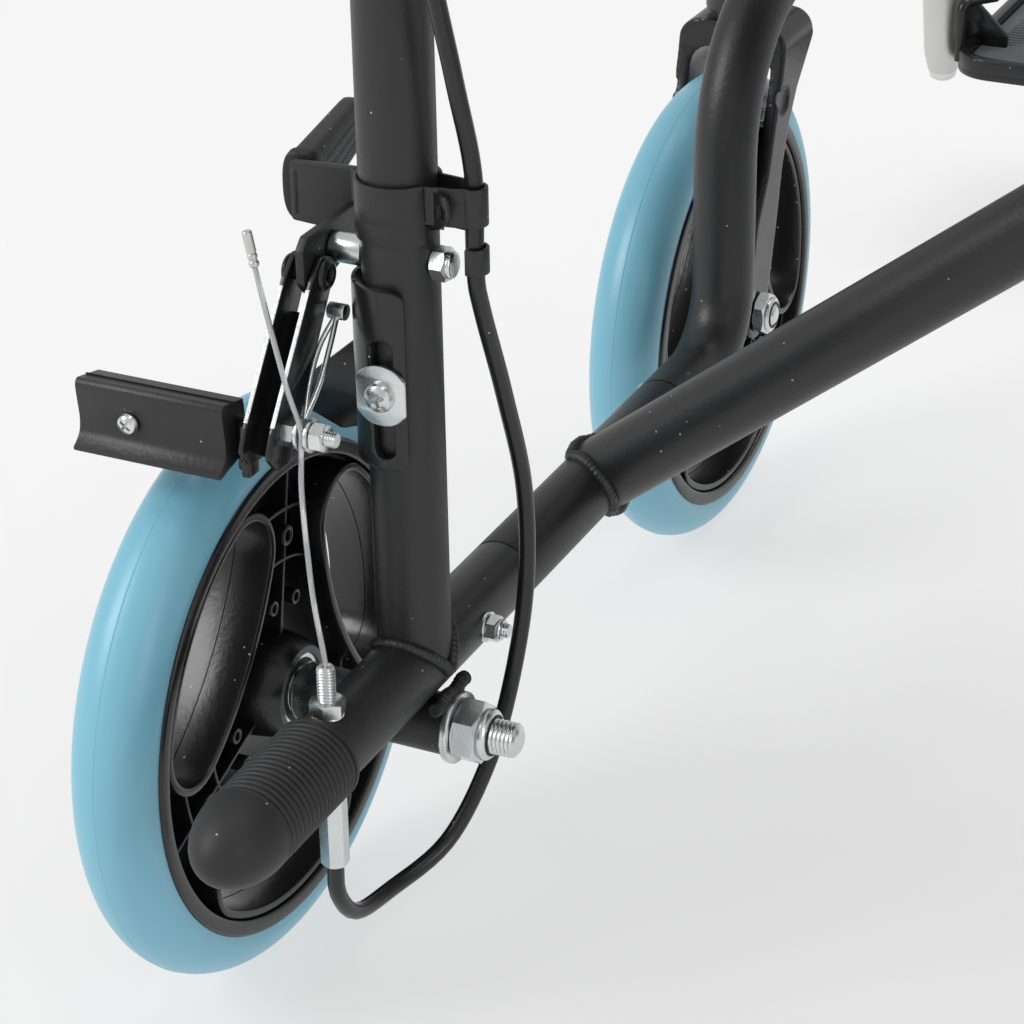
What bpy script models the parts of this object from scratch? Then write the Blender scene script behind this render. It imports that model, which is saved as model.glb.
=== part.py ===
"""A folding transport chair with small wheels, an X brace and cable-worked brakes.

Metres, +Z up. The chair faces -Y, its left side is at +X, and it stands on z = 0.
Lengths along Y are measured from the rear axle, which an empty then shifts so that
the origin lies under the middle of the chair. Every part of one side is modelled on
the left and mirrored for the right.
"""

import math

import bmesh
import bpy
from mathutils import Matrix, Vector

# Stance
WHEEL_R = 0.100
WHEEL_X = 0.275
RAIL_X = 0.215
TUBE_R = 0.012
AXLE_TUBE_R = 0.010
AXLE_TUBE_INNER_X = 0.2018
GAP = 0.0003
RUN_GAP = 0.0005

# Side frame, seen from the side
WELD_SINK = 0.0005
RAIL_Z = WHEEL_R + AXLE_TUBE_R + TUBE_R - WELD_SINK
RAIL_REAR_Y = 0.104
SLEEVE_REAR_Y = -0.0635
SLEEVE_FRONT_Y = -0.2040
CORE_R = 0.0102
SLEEVE_BORE_R = 0.0108
UPPER_Z = 0.260
UPRIGHT_Y = -0.400
ARM_Z = 0.700
BEND_R = 0.0592
POST_BEND_Z = 0.520
POST_LEAN = math.radians(6.0)
HANDLE_Z = 0.935
HANDLE_BEND_R = 0.045
HANDLE_END_Y = 0.222
SUPPORT_R = 0.011
SUPPORT_Z = 0.426
PIVOT_BOLT_Z = 0.262

# X brace and seat rails
BRACE_R = 0.0135
BRACE_ANGLE = math.radians(38.3)
BRACE_Y = -0.141
BRACE_PITCH = 0.0285
SEAT_RAIL_R = 0.011
SEAT_RAIL_REAR_Y = -0.022
SEAT_RAIL_FRONT_Y = -0.368
CROSS_BOLT_R = 0.004
RAIL_FOOT_YS = (-0.075, -0.325)
RAIL_FOOT_REACH = (0.010, 0.002)

# Wheels
TYRE_R = 0.0142
BEAD_R = 0.0848
RIM_R = 0.0844
RIM_HALF = 0.015
RING_WALL = 0.0055
WEB_HALF = 0.002
HUB_R = 0.017
HUB_HALF = 0.0175
AXLE_R = 0.006
AXLE_NUT_FLATS = 0.019
WINDOWS = 3
WINDOW_WALL = 0.003
WALL_HALF = 0.014
WINDOW_REACH = 0.0785
WINDOW_SPREAD = 22.0
WINDOW_CORNER_XY = (0.0555, 0.0320)
WINDOW_CORNER_R = 0.0125
WINDOW_ROOT_X = 0.0360
WINDOW_ROOT_R = 0.0110
WINDOW_ANGLE = 40.0
WHEEL_SIDES = 24

# Casters
STEM_X = 0.256
STEM_Y = -0.389
TRAIL = 0.041
STEM_R = 0.006
FORK_HALF = 0.028
FORK_INNER_HALF = 0.018
CROWN_TOP_Z = 0.216
CROWN_UNDER_Z = 0.2045
HOUSING_R = 0.017
HOUSING_Z = (0.2185, 0.325)

# Rear end
CAP_R = 0.0145
CAP_FRONT_Y = 0.0645
CAP_DOME_Y = 0.1085
CAP_TIP_Y = 0.131
ADJUSTER_Y = 0.0575
ADJUSTER_R = 0.003
ADJUSTER_TOP_Z = 0.150
COUPLING_Z = (0.079, 0.108)
SHEATH_R = 0.00275
WIRE_R = 0.0009
CLIP_Z = (0.270, 0.289)
CLIP_CABLE_XY = (0.190, 0.0)
CLIP_WALL = 0.0011

# Wheel brake, on the outer side of the post
BRACKET_Z = (0.197, 0.2565)
BRACKET_WALL = 0.003
BRACKET_WRAP = 118
BRACKET_SLOT_Z = (0.201, 0.240)
SPACER_R = 0.005
LEVER_X = (0.238, 0.241)
TANG_ROOT_X = 0.2615
TANG_LENGTH = 0.045
GRIP_SPLAY = math.radians(13.0)
GRIP_LENGTH = 0.062
ARM_X = (0.2352, 0.2462)
ARM_WALL = 0.0018
RIVET_YZ = (0.011, 0.257)
RIVET_R = 0.003
ARM_FOOT_YZ = (0.0400, 0.2150)
PINCH_YZ = (0.0385, 0.217)
SHOE_X = (0.251, 0.303)

# Push handles and hand brakes
GRIP_R = 0.0155
GRIP_FLANGE_R = 0.0185
LEVER_HALF = 0.006
GRIP_START_Y = 0.124
BRACKET_Y = 0.1115
LEVER_PIVOT = (0.108, 0.9065)

# Footrests
HANGER_R = 0.011
HANGER_Y = -0.4245
SHIN_X = 0.263
SHIN_FOOT = (-0.690, 0.090)
SHIN_LEAN = math.radians(12.0)
SHIN_R = 0.0095
SHIN_TOP_Z = 0.330
HANGER_FOOT_Z = 0.245
PLATE_PIVOT_Z = 0.130
PLATE_X = (0.086, 0.2515)
PLATE_Y = (-0.800, -0.660)
PLATE_Z = (0.1005, 0.112)
HINGE_GAP = 0.0032
HINGE_WALL = 0.004

# Soft parts and trim
SEAT_THICK = 0.004
BACK_THICK = 0.002
SEAT_SAG = 0.012
BACK_Z = (0.540, 0.885)
BACK_NOTCH_GAP = 0.003
PANEL_STANDOFF = 0.0023
PANEL_WALL = 0.003
PANEL_REAR_GAP = 0.005
PAD_Y = (-0.365, -0.075)
PAD_HALF = 0.024
PAD_HEIGHT = 0.026

# The axle lies behind the origin by half the difference of the chair's two ends
GRIP_END_Y = HANDLE_END_Y + 0.006
AXLE_Y = -(GRIP_END_Y + PLATE_Y[0]) / 2

# The front tube starts its first bend just past the sleeve
RISER_Y = SLEEVE_FRONT_Y - RUN_GAP - BEND_R

BRACE_RUN = 2 * RAIL_X
SEAT_RAIL_Z = RAIL_Z + BRACE_RUN * math.tan(BRACE_ANGLE)
CROSS_Z = (RAIL_Z + SEAT_RAIL_Z) / 2
SEAT_RAIL_TOP_Z = SEAT_RAIL_Z + SEAT_RAIL_R
SIDES = ((1, "left"), (-1, "right"))


def clear_scene():
    for thing in list(bpy.data.objects):
        bpy.data.objects.remove(thing, do_unlink=True)


def material(name, colour, roughness, metallic=0.0):
    """A plain Principled material."""
    made = bpy.data.materials.new(name)
    made.use_nodes = True
    shader = made.node_tree.nodes["Principled BSDF"]
    shader.inputs["Base Color"].default_value = (*colour, 1.0)
    shader.inputs["Roughness"].default_value = roughness
    shader.inputs["Metallic"].default_value = metallic
    return made


def from_bmesh(name, bm):
    """A mesh object with its faces pointing out."""
    bmesh.ops.remove_doubles(bm, verts=bm.verts, dist=1e-6)
    bmesh.ops.recalc_face_normals(bm, faces=bm.faces)
    mesh = bpy.data.meshes.new(name)
    bm.to_mesh(mesh)
    bm.free()
    thing = bpy.data.objects.new(name, mesh)
    bpy.context.collection.objects.link(thing)
    return thing


def evaluated_mesh(thing):
    """The object's mesh as its modifiers or its curve bevel leave it."""
    bpy.context.view_layer.update()
    graph = bpy.context.evaluated_depsgraph_get()
    return bpy.data.meshes.new_from_object(thing.evaluated_get(graph))


def apply_boolean(base, operation, others):
    """Joins the others to the base or cuts them from it, then removes them."""
    for other in others:
        step = base.modifiers.new(operation, "BOOLEAN")
        step.operation = operation
        step.object = other
    mesh = evaluated_mesh(base)
    base.modifiers.clear()
    base.data = mesh
    for other in others:
        bpy.data.objects.remove(other, do_unlink=True)
    return base


def join(base, *others):
    return apply_boolean(base, "UNION", others)


def cut(base, *others):
    return apply_boolean(base, "DIFFERENCE", others)


def rounded_path(corners, radius, steps, closed=False):
    """The corners with an arc of the given radius at each, or at all but the ends."""
    points = [Vector(corner) for corner in corners]
    count = len(points)
    path = []
    for i, corner in enumerate(points):
        if not closed and i in (0, count - 1):
            path.append(corner)
            continue
        back = (points[i - 1] - corner).normalized()
        on = (points[(i + 1) % count] - corner).normalized()
        turn = math.pi - back.angle(on)
        if turn < 1e-4 or radius <= 0:
            path.append(corner)
            continue
        reach = radius * math.tan(turn / 2)
        centre = corner + (back + on).normalized() * (radius / math.cos(turn / 2))
        first = corner + back * reach - centre
        last = corner + on * reach - centre
        for k in range(steps + 1):
            share = k / steps
            mix = first * math.sin((1 - share) * turn) + last * math.sin(share * turn)
            path.append(centre + mix / math.sin(turn))
    return path


def tube(corners, radius, bend=0.0, sides=12, steps=4):
    """A round bar along the corners, with its bends rounded."""
    curve = bpy.data.curves.new("tube", "CURVE")
    curve.dimensions = "3D"
    curve.bevel_depth = radius
    curve.bevel_resolution = sides // 2 - 2
    curve.use_fill_caps = True
    path = rounded_path(corners, bend, steps)
    spline = curve.splines.new("POLY")
    spline.points.add(len(path) - 1)
    for point, place in zip(spline.points, path):
        point.co = (*place, 1.0)
    thing = bpy.data.objects.new("tube", curve)
    bpy.context.collection.objects.link(thing)
    mesh = evaluated_mesh(thing)
    bpy.data.objects.remove(thing, do_unlink=True)
    bm = bmesh.new()
    bm.from_mesh(mesh)
    return from_bmesh("tube", bm)


def axis_matrix(axis, origin):
    """Turns +Z onto the axis and moves the origin there."""
    turn = Vector((0, 0, 1)).rotation_difference(Vector(axis)).to_matrix().to_4x4()
    return Matrix.Translation(Vector(origin)) @ turn


def turned(profile, origin, axis, sides=12):
    """A profile of (radius, height) points turned about an axis through the origin."""
    bm = bmesh.new()
    verts = [bm.verts.new((r, 0, h)) for r, h in profile]
    edges = [bm.edges.new(pair) for pair in zip(verts, verts[1:])]
    on_axis = profile[0][0] < 1e-9 and profile[-1][0] < 1e-9
    if not on_axis:
        edges.append(bm.edges.new((verts[-1], verts[0])))
    bmesh.ops.spin(
        bm,
        geom=verts + edges,
        cent=(0, 0, 0),
        axis=(0, 0, 1),
        angle=2 * math.pi,
        steps=sides,
        use_merge=True,
        use_duplicate=False,
    )
    bmesh.ops.transform(bm, matrix=axis_matrix(axis, origin), verts=bm.verts)
    return from_bmesh("turned", bm)


def rod(start, end, radius, sides=12):
    """A straight round bar between two points."""
    start, end = Vector(start), Vector(end)
    length = (end - start).length
    bm = bmesh.new()
    bmesh.ops.create_cone(
        bm, cap_ends=True, segments=sides, radius1=radius, radius2=radius, depth=length
    )
    place = axis_matrix((end - start).normalized(), (start + end) / 2)
    bmesh.ops.transform(bm, matrix=place, verts=bm.verts)
    return from_bmesh("rod", bm)


def ring(start, end, inner, outer, sides=12):
    """A round sleeve between two points."""
    start, end = Vector(start), Vector(end)
    length = (end - start).length
    profile = [(inner, 0), (outer, 0), (outer, length), (inner, length)]
    return turned(profile, start, (end - start).normalized(), sides)


def hexagon(start, end, flats):
    """A hexagonal bar between two points, with its size across the flats."""
    return rod(start, end, flats / math.sqrt(3), sides=6)


def extrusion(outline, normal, low, high):
    """An outline pushed from low to high along the x, y or z axis.

    The outline's two numbers are the two other coordinates in their usual order.
    """
    index = "xyz".index(normal)
    bm = bmesh.new()
    verts = []
    for pair in outline:
        place = list(pair)
        place.insert(index, low)
        verts.append(bm.verts.new(place))
    face = bm.faces.new(verts)
    grown = bmesh.ops.extrude_face_region(bm, geom=[face])["geom"]
    offset = [0.0, 0.0, 0.0]
    offset[index] = high - low
    moved = [part for part in grown if isinstance(part, bmesh.types.BMVert)]
    bmesh.ops.translate(bm, vec=offset, verts=moved)
    return from_bmesh("extrusion", bm)


def box(low, high):
    outline = [(low[0], low[1]), (high[0], low[1]), (high[0], high[1]), (low[0], high[1])]
    return extrusion(outline, "z", low[2], high[2])


def rounded_outline(corners, radius, steps=3):
    flat = [(a, b, 0) for a, b in corners]
    return [(p.x, p.y) for p in rounded_path(flat, radius, steps, closed=True)]


def arc_points(centre, radius, start, end, steps):
    """Points on an arc, with its angles in degrees."""
    points = []
    for k in range(steps + 1):
        angle = math.radians(start + (end - start) * k / steps)
        points.append((centre[0] + radius * math.cos(angle), centre[1] + radius * math.sin(angle)))
    return points


def smooth_route(points, spacing):
    """Points about one spacing apart on a smooth curve through the route's points."""
    route = [Vector(point) for point in points]
    ends = [route[0] * 2 - route[1]] + route + [route[-1] * 2 - route[-2]]
    path = [route[0]]
    for i in range(1, len(ends) - 2):
        before, here, there, after = ends[i - 1 : i + 3]
        count = max(1, round((there - here).length / spacing))
        for k in range(1, count + 1):
            t = k / count
            path.append(
                0.5
                * (
                    2 * here
                    + (there - before) * t
                    + (2 * before - 5 * here + 4 * there - after) * t**2
                    + (3 * here - before - 3 * there + after) * t**3
                )
            )
    return path


def clear_radius(radius, step):
    """The radius of a faceted bore, with its step in degrees, that a round bar fits in."""
    return (radius + GAP) / math.cos(math.radians(step / 2))


def post_point(z):
    """The middle of the post at a height."""
    lean = max(0.0, z - POST_BEND_Z) * math.tan(POST_LEAN)
    return Vector((RAIL_X, lean, z))


def shin_point(z):
    """The middle of the leaning footrest tube at a height."""
    return Vector((SHIN_X, SHIN_FOOT[0] + (z - SHIN_FOOT[1]) * math.tan(SHIN_LEAN), z))


def side_frame():
    """The bent tubes of one side, with what is welded to them."""
    rail = tube([(RAIL_X, RAIL_REAR_Y, RAIL_Z), (RAIL_X, SLEEVE_REAR_Y, RAIL_Z)], TUBE_R)
    core = tube(
        [
            (RAIL_X, SLEEVE_REAR_Y + TUBE_R, RAIL_Z),
            (RAIL_X, SLEEVE_FRONT_Y - TUBE_R / 2, RAIL_Z),
        ],
        CORE_R,
    )
    post_top = post_point(HANDLE_Z)
    front = tube(
        [
            (RAIL_X, SLEEVE_FRONT_Y, RAIL_Z),
            (RAIL_X, RISER_Y, RAIL_Z),
            (RAIL_X, RISER_Y, UPPER_Z),
            (RAIL_X, UPRIGHT_Y, UPPER_Z),
            (RAIL_X, UPRIGHT_Y, ARM_Z),
            (RAIL_X, post_point(ARM_Z).y, ARM_Z),
        ],
        TUBE_R,
        BEND_R,
    )
    post = tube(
        [
            (RAIL_X, 0, RAIL_Z + TUBE_R / 3),
            (RAIL_X, 0, POST_BEND_Z),
            post_top,
            (RAIL_X, HANDLE_END_Y, HANDLE_Z),
        ],
        TUBE_R,
        HANDLE_BEND_R,
    )
    support = rod((RAIL_X, 0, SUPPORT_Z), (RAIL_X, UPRIGHT_Y, SUPPORT_Z), SUPPORT_R)
    join(rail, core, front, post, support)
    join(rail, axle_tube(), stem_housing(), *hanger_sockets())
    bolt_hole = rod(
        (RAIL_X, ADJUSTER_Y, RAIL_Z - 2 * TUBE_R),
        (RAIL_X, ADJUSTER_Y, RAIL_Z + 2 * TUBE_R),
        ADJUSTER_R + GAP,
        10,
    )
    axle_hole = rod((0.15, 0, WHEEL_R), (0.30, 0, WHEEL_R), AXLE_R + GAP)
    pivot_hole = rod(
        (RAIL_X - 2 * TUBE_R, 0, PIVOT_BOLT_Z),
        (RAIL_X + 2 * TUBE_R, 0, PIVOT_BOLT_Z),
        RIVET_R + GAP,
        10,
    )
    stem_hole = rod(
        (STEM_X, STEM_Y, HOUSING_Z[0] - TUBE_R),
        (STEM_X, STEM_Y, HOUSING_Z[1] - TUBE_R),
        STEM_R + RUN_GAP,
        12,
    )
    return cut(rail, bolt_hole, axle_hole, pivot_hole, stem_hole)


def axle_tube():
    """The tube across the rail that the wheel bolt goes through."""
    outer = WHEEL_X - HUB_HALF - RUN_GAP
    return rod((AXLE_TUBE_INNER_X, 0, WHEEL_R), (outer, 0, WHEEL_R), AXLE_TUBE_R)


def stem_housing():
    """The upright bearing housing of the caster, held to the frame by two short tubes."""
    low, high = HOUSING_Z
    profile = [
        (0, low),
        (HOUSING_R, low),
        (HOUSING_R, high - 0.003),
        (HOUSING_R - 0.002, high),
        (HOUSING_R - 0.006, high + 0.0035),
        (0, high + 0.005),
    ]
    housing = turned(profile, (STEM_X, STEM_Y, 0), (0, 0, 1))
    for z in (0.274, 0.308):
        stub = rod((RAIL_X, STEM_Y, z), (STEM_X - HOUSING_R + 0.006, STEM_Y, z), 0.009)
        join(housing, stub)
    return housing


def hanger_sockets():
    """A lower step with a pin and an upper ring, in which the footrest hanger turns."""
    step = box((RAIL_X - 0.009, HANGER_Y - 0.009, 0.344), (RAIL_X + 0.009, UPRIGHT_Y, 0.350))
    pin = rod((RAIL_X, HANGER_Y, 0.346), (RAIL_X, HANGER_Y, 0.376), 0.006)
    eye = ring(
        (RAIL_X, HANGER_Y, 0.436),
        (RAIL_X, HANGER_Y, 0.452),
        HANGER_R + RUN_GAP,
        HANGER_R + 0.0035,
    )
    return [join(step, pin), eye]


def tipping_cap():
    """The rubber cap with a domed tip over the rear end of the lower rail."""
    profile = [(0, CAP_FRONT_Y), (CAP_R, CAP_FRONT_Y)]
    length = CAP_TIP_Y - CAP_DOME_Y
    for degrees in (0, 25, 45, 65):
        angle = math.radians(degrees)
        profile.append((CAP_R * math.cos(angle), CAP_DOME_Y + length * math.sin(angle)))
    profile.append((0, CAP_TIP_Y))
    shell = turned(profile, (RAIL_X, 0, RAIL_Z), (0, 1, 0))
    hollow = rod(
        (RAIL_X, CAP_FRONT_Y - TUBE_R, RAIL_Z),
        (RAIL_X, RAIL_REAR_Y + GAP, RAIL_Z),
        TUBE_R + GAP,
    )
    return cut(shell, hollow)


def push_grip():
    """The handle's sleeve, with a flange at its front and a closed rear end."""
    outer = [
        (0, GRIP_START_Y),
        (GRIP_FLANGE_R, GRIP_START_Y),
        (GRIP_FLANGE_R, GRIP_START_Y + 0.004),
        (GRIP_R, GRIP_START_Y + 0.007),
        (GRIP_R, GRIP_END_Y - 0.003),
        (GRIP_R - 0.003, GRIP_END_Y),
        (0, GRIP_END_Y),
    ]
    grip = turned(outer, (RAIL_X, 0, HANDLE_Z), (0, 1, 0))
    hollow = rod(
        (RAIL_X, GRIP_START_Y - 0.01, HANDLE_Z),
        (RAIL_X, HANDLE_END_Y + GAP, HANDLE_Z),
        TUBE_R + GAP,
    )
    return cut(grip, hollow)


def hand_brake_bracket():
    """The clamp round the handle, with two cheeks and a pin for the lever."""
    y = BRACKET_Y
    clamp = ring(
        (RAIL_X, y - 0.007, HANDLE_Z),
        (RAIL_X, y + 0.007, HANDLE_Z),
        TUBE_R + GAP,
        TUBE_R + 0.0035,
    )
    pivot_y, pivot_z = LEVER_PIVOT
    cheek = rounded_outline(
        [
            (pivot_y - 0.020, pivot_z - 0.007),
            (pivot_y + 0.008, pivot_z - 0.007),
            (pivot_y + 0.008, pivot_z + 0.017),
            (pivot_y - 0.010, pivot_z + 0.017),
        ],
        0.005,
        2,
    )
    for side in (-1, 1):
        inner = RAIL_X + side * LEVER_HALF + side * RUN_GAP
        low, high = sorted((inner, inner + side * 0.0025))
        join(clamp, extrusion(cheek, "x", low, high))
    reach = LEVER_HALF + 0.004
    pin = rod((RAIL_X - reach, pivot_y, pivot_z), (RAIL_X + reach, pivot_y, pivot_z), 0.0025, 8)
    stop_y = pivot_y - 0.017
    back = box(
        (RAIL_X - reach + 0.002, stop_y - 0.003, pivot_z - 0.006),
        (RAIL_X + reach - 0.002, stop_y, pivot_z + 0.008),
    )
    return join(clamp, pin, back)


def hand_brake_lever():
    """The curved lever under the push handle, with an eye for the cable's end."""
    pivot_y, pivot_z = LEVER_PIVOT
    upper = [(pivot_y - 0.012, pivot_z + 0.002), (pivot_y - 0.002, pivot_z + 0.006)]
    upper += [(pivot_y + 0.010, pivot_z + 0.002), (pivot_y + 0.030, pivot_z - 0.010)]
    upper += [(pivot_y + 0.070, pivot_z - 0.017), (pivot_y + 0.104, pivot_z - 0.017)]
    lower = [(pivot_y + 0.108, pivot_z - 0.021), (pivot_y + 0.104, pivot_z - 0.025)]
    lower += [(pivot_y + 0.068, pivot_z - 0.024), (pivot_y + 0.026, pivot_z - 0.017)]
    lower += [(pivot_y + 0.006, pivot_z - 0.006), (pivot_y - 0.010, pivot_z - 0.004)]
    blade = extrusion(upper + lower, "x", RAIL_X - LEVER_HALF, RAIL_X + LEVER_HALF)
    hole = rod(
        (RAIL_X - 0.02, pivot_y, pivot_z),
        (RAIL_X + 0.02, pivot_y, pivot_z),
        0.0025 + RUN_GAP,
        10,
    )
    return cut(blade, hole)


def cable_adjuster():
    """The hollow screw through the rail, its nut on top and the long coupling below."""
    top = RAIL_Z + TUBE_R
    low = RAIL_Z - TUBE_R
    x = RAIL_X
    screw = rod((x, ADJUSTER_Y, low - 0.012), (x, ADJUSTER_Y, ADJUSTER_TOP_Z), ADJUSTER_R, 10)
    nut = hexagon((x, ADJUSTER_Y, top + GAP), (x, ADJUSTER_Y, top + 0.0050), 0.010)
    coupling = hexagon(
        (x, ADJUSTER_Y, COUPLING_Z[0]),
        (x, ADJUSTER_Y, min(COUPLING_Z[1], low - GAP)),
        0.008,
    )
    bore = rod(
        (x, ADJUSTER_Y, ADJUSTER_TOP_Z - 0.010),
        (x, ADJUSTER_Y, ADJUSTER_TOP_Z + 0.010),
        WIRE_R + 0.0005,
        8,
    )
    return cut(join(screw, nut, coupling), bore)


def cable_clip():
    """The steel band round the post, with an ear and a hook round the cable's sheath."""
    low, high = CLIP_Z
    band = ring((RAIL_X, 0, low), (RAIL_X, 0, high), TUBE_R + GAP, TUBE_R + GAP + CLIP_WALL)
    x, y = CLIP_CABLE_XY
    bore = clear_radius(SHEATH_R, 360 / 8)
    loop = ring((x, y, low - 0.009), (x, y, high), bore, bore + CLIP_WALL, 8)
    ear = box((x + SHEATH_R + 0.0007, -0.0007, low), (RAIL_X - TUBE_R - 0.0008, 0.0007, high))
    mouth = box((x - 0.01, y - 0.0012, low - 0.02), (x - 0.001, y + 0.0012, high + 0.01))
    notch = box((x - 0.01, y - 0.01, low - 0.0035), (x + 0.0005, y + 0.01, low))
    return cut(join(band, loop, ear), mouth, notch)


def brake_bracket():
    """The steel strip wrapped round the post, with its slot and its ear."""
    low, high = BRACKET_Z
    steps = 8
    inner = clear_radius(TUBE_R, (BRACKET_WRAP + 90) / steps)
    outer = inner + BRACKET_WALL
    centre = (RAIL_X, 0)
    strip = arc_points(centre, outer, BRACKET_WRAP, -90, steps)
    strip += arc_points(centre, inner, -90, BRACKET_WRAP, steps)
    wrap = extrusion(strip, "z", low, high)
    slot = box(
        (RAIL_X - 0.0033, 0, BRACKET_SLOT_Z[0]),
        (RAIL_X + 0.0033, outer + 0.01, BRACKET_SLOT_Z[1]),
    )
    ear_outline = [
        (RAIL_X + 0.002, low + 0.006),
        (RAIL_X + 0.002, high - 0.026),
        (RAIL_X + 0.024, high - 0.031),
        (RAIL_X + 0.0455, high - 0.050),
        (RAIL_X + 0.0455, low + 0.002),
        (RAIL_X + 0.030, low - 0.004),
    ]
    ear = extrusion(rounded_outline(ear_outline, 0.003, 2), "y", -outer, -inner)
    return join(cut(wrap, slot), ear)


def brake_pivot_bolt():
    """The bolt through the post, with the bright spacer that the lever turns against."""
    inner_end = RAIL_X - TUBE_R - 0.004
    outer_end = LEVER_X[1] + 0.0045
    bolt = rod((inner_end, 0, PIVOT_BOLT_Z), (outer_end, 0, PIVOT_BOLT_Z), RIVET_R, 8)
    spacer = rod(
        (RAIL_X + TUBE_R + GAP, 0, PIVOT_BOLT_Z),
        (LEVER_X[0] - GAP, 0, PIVOT_BOLT_Z),
        SPACER_R,
        10,
    )
    head = rod((inner_end - 0.003, 0, PIVOT_BOLT_Z), (inner_end + 0.0035, 0, PIVOT_BOLT_Z), 0.0055, 8)
    cap = rod((LEVER_X[1] + GAP, 0, PIVOT_BOLT_Z), (outer_end - 0.001, 0, PIVOT_BOLT_Z), 0.0045, 8)
    return join(bolt, spacer, head, cap)


def wheel_brake_lever():
    """The bent plate that carries the grip and, on its lug, the brake arm."""
    low, high = LEVER_X
    rivet_y, rivet_z = RIVET_YZ
    outline = [(-0.0175, 0.270), (-0.0175, 0.2545), (-0.004, 0.2545)]
    outline += [(rivet_y - 0.004, rivet_z - 0.0055), (rivet_y + 0.003, rivet_z - 0.0065)]
    outline += [(rivet_y + 0.0075, rivet_z - 0.0015), (rivet_y + 0.0075, 0.2665), (0.015, 0.270)]
    plate = extrusion(outline, "x", low, high)
    flange = box((low, -0.0200, 0.2585), (TANG_ROOT_X, -0.0170, 0.2805))
    turn = Matrix.Translation((TANG_ROOT_X, -0.0185, 0)) @ Matrix.Rotation(GRIP_SPLAY, 4, "Z")
    tang = box((-0.003, -TANG_LENGTH, 0.2635), (0, 0.0005, 0.2755))
    tang.data.transform(turn)
    join(plate, flange, tang)
    pivot_hole = rod((low - 0.01, 0, PIVOT_BOLT_Z), (high + 0.01, 0, PIVOT_BOLT_Z), RIVET_R + RUN_GAP, 10)
    rivet_hole = rod(
        (low - 0.01, rivet_y, rivet_z),
        (high + 0.01, rivet_y, rivet_z),
        RIVET_R + RUN_GAP,
        10,
    )
    return cut(plate, pivot_hole, rivet_hole)


def brake_lever_grip():
    """The moulded handle over the lever's tang."""
    half = 0.0065
    low, high = 0.2580, 0.2810
    front = rounded_outline([(-half, low), (half, low), (half, high), (-half, high)], 0.004, 2)
    body = extrusion(front, "y", -GRIP_LENGTH, 0)
    bm = bmesh.new()
    bm.from_mesh(body.data)
    tip = [vert for vert in bm.verts if vert.co.y < -GRIP_LENGTH + 1e-4]
    for vert in tip:
        vert.co.x *= 0.55
        vert.co.z = (low + high) / 2 + (vert.co.z - (low + high) / 2) * 0.7
    rim = bmesh.ops.bisect_plane(
        bm,
        geom=bm.verts[:] + bm.edges[:] + bm.faces[:],
        plane_co=(0, -GRIP_LENGTH + 0.005, 0),
        plane_no=(0, 1, 0),
    )["geom_cut"]
    for vert in (part for part in rim if isinstance(part, bmesh.types.BMVert)):
        share = (GRIP_LENGTH - 0.005) / GRIP_LENGTH
        vert.co.x /= 1 - 0.45 * share
        vert.co.z = (low + high) / 2 + (vert.co.z - (low + high) / 2) / (1 - 0.3 * share)
    bm.to_mesh(body.data)
    bm.free()
    pocket = box((-0.0015 - GAP, -TANG_LENGTH, 0.2635 - GAP), (0.0015 + GAP, 0.01, 0.2755 + GAP))
    cut(body, pocket)
    start = Vector((TANG_ROOT_X, -0.0185, 0))
    turn = Matrix.Rotation(GRIP_SPLAY, 4, "Z")
    shift = turn @ Vector((-0.0015, -0.0035, 0))
    body.data.transform(Matrix.Translation(start + shift) @ turn)
    return body


def brake_rivet():
    """The hollow-headed rivet that joins the brake arm to the lever's lug."""
    y, z = RIVET_YZ
    low, high = ARM_X[0] - GAP, ARM_X[1] + GAP
    shank = rod((low - 0.001, y, z), (high + 0.001, y, z), RIVET_R, 8)
    heads = []
    for start, end in ((low - 0.0018, low), (high, high + 0.0018)):
        heads.append(rod((start, y, z), (end, y, z), 0.0052, 10))
    return join(shank, *heads)


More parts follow.
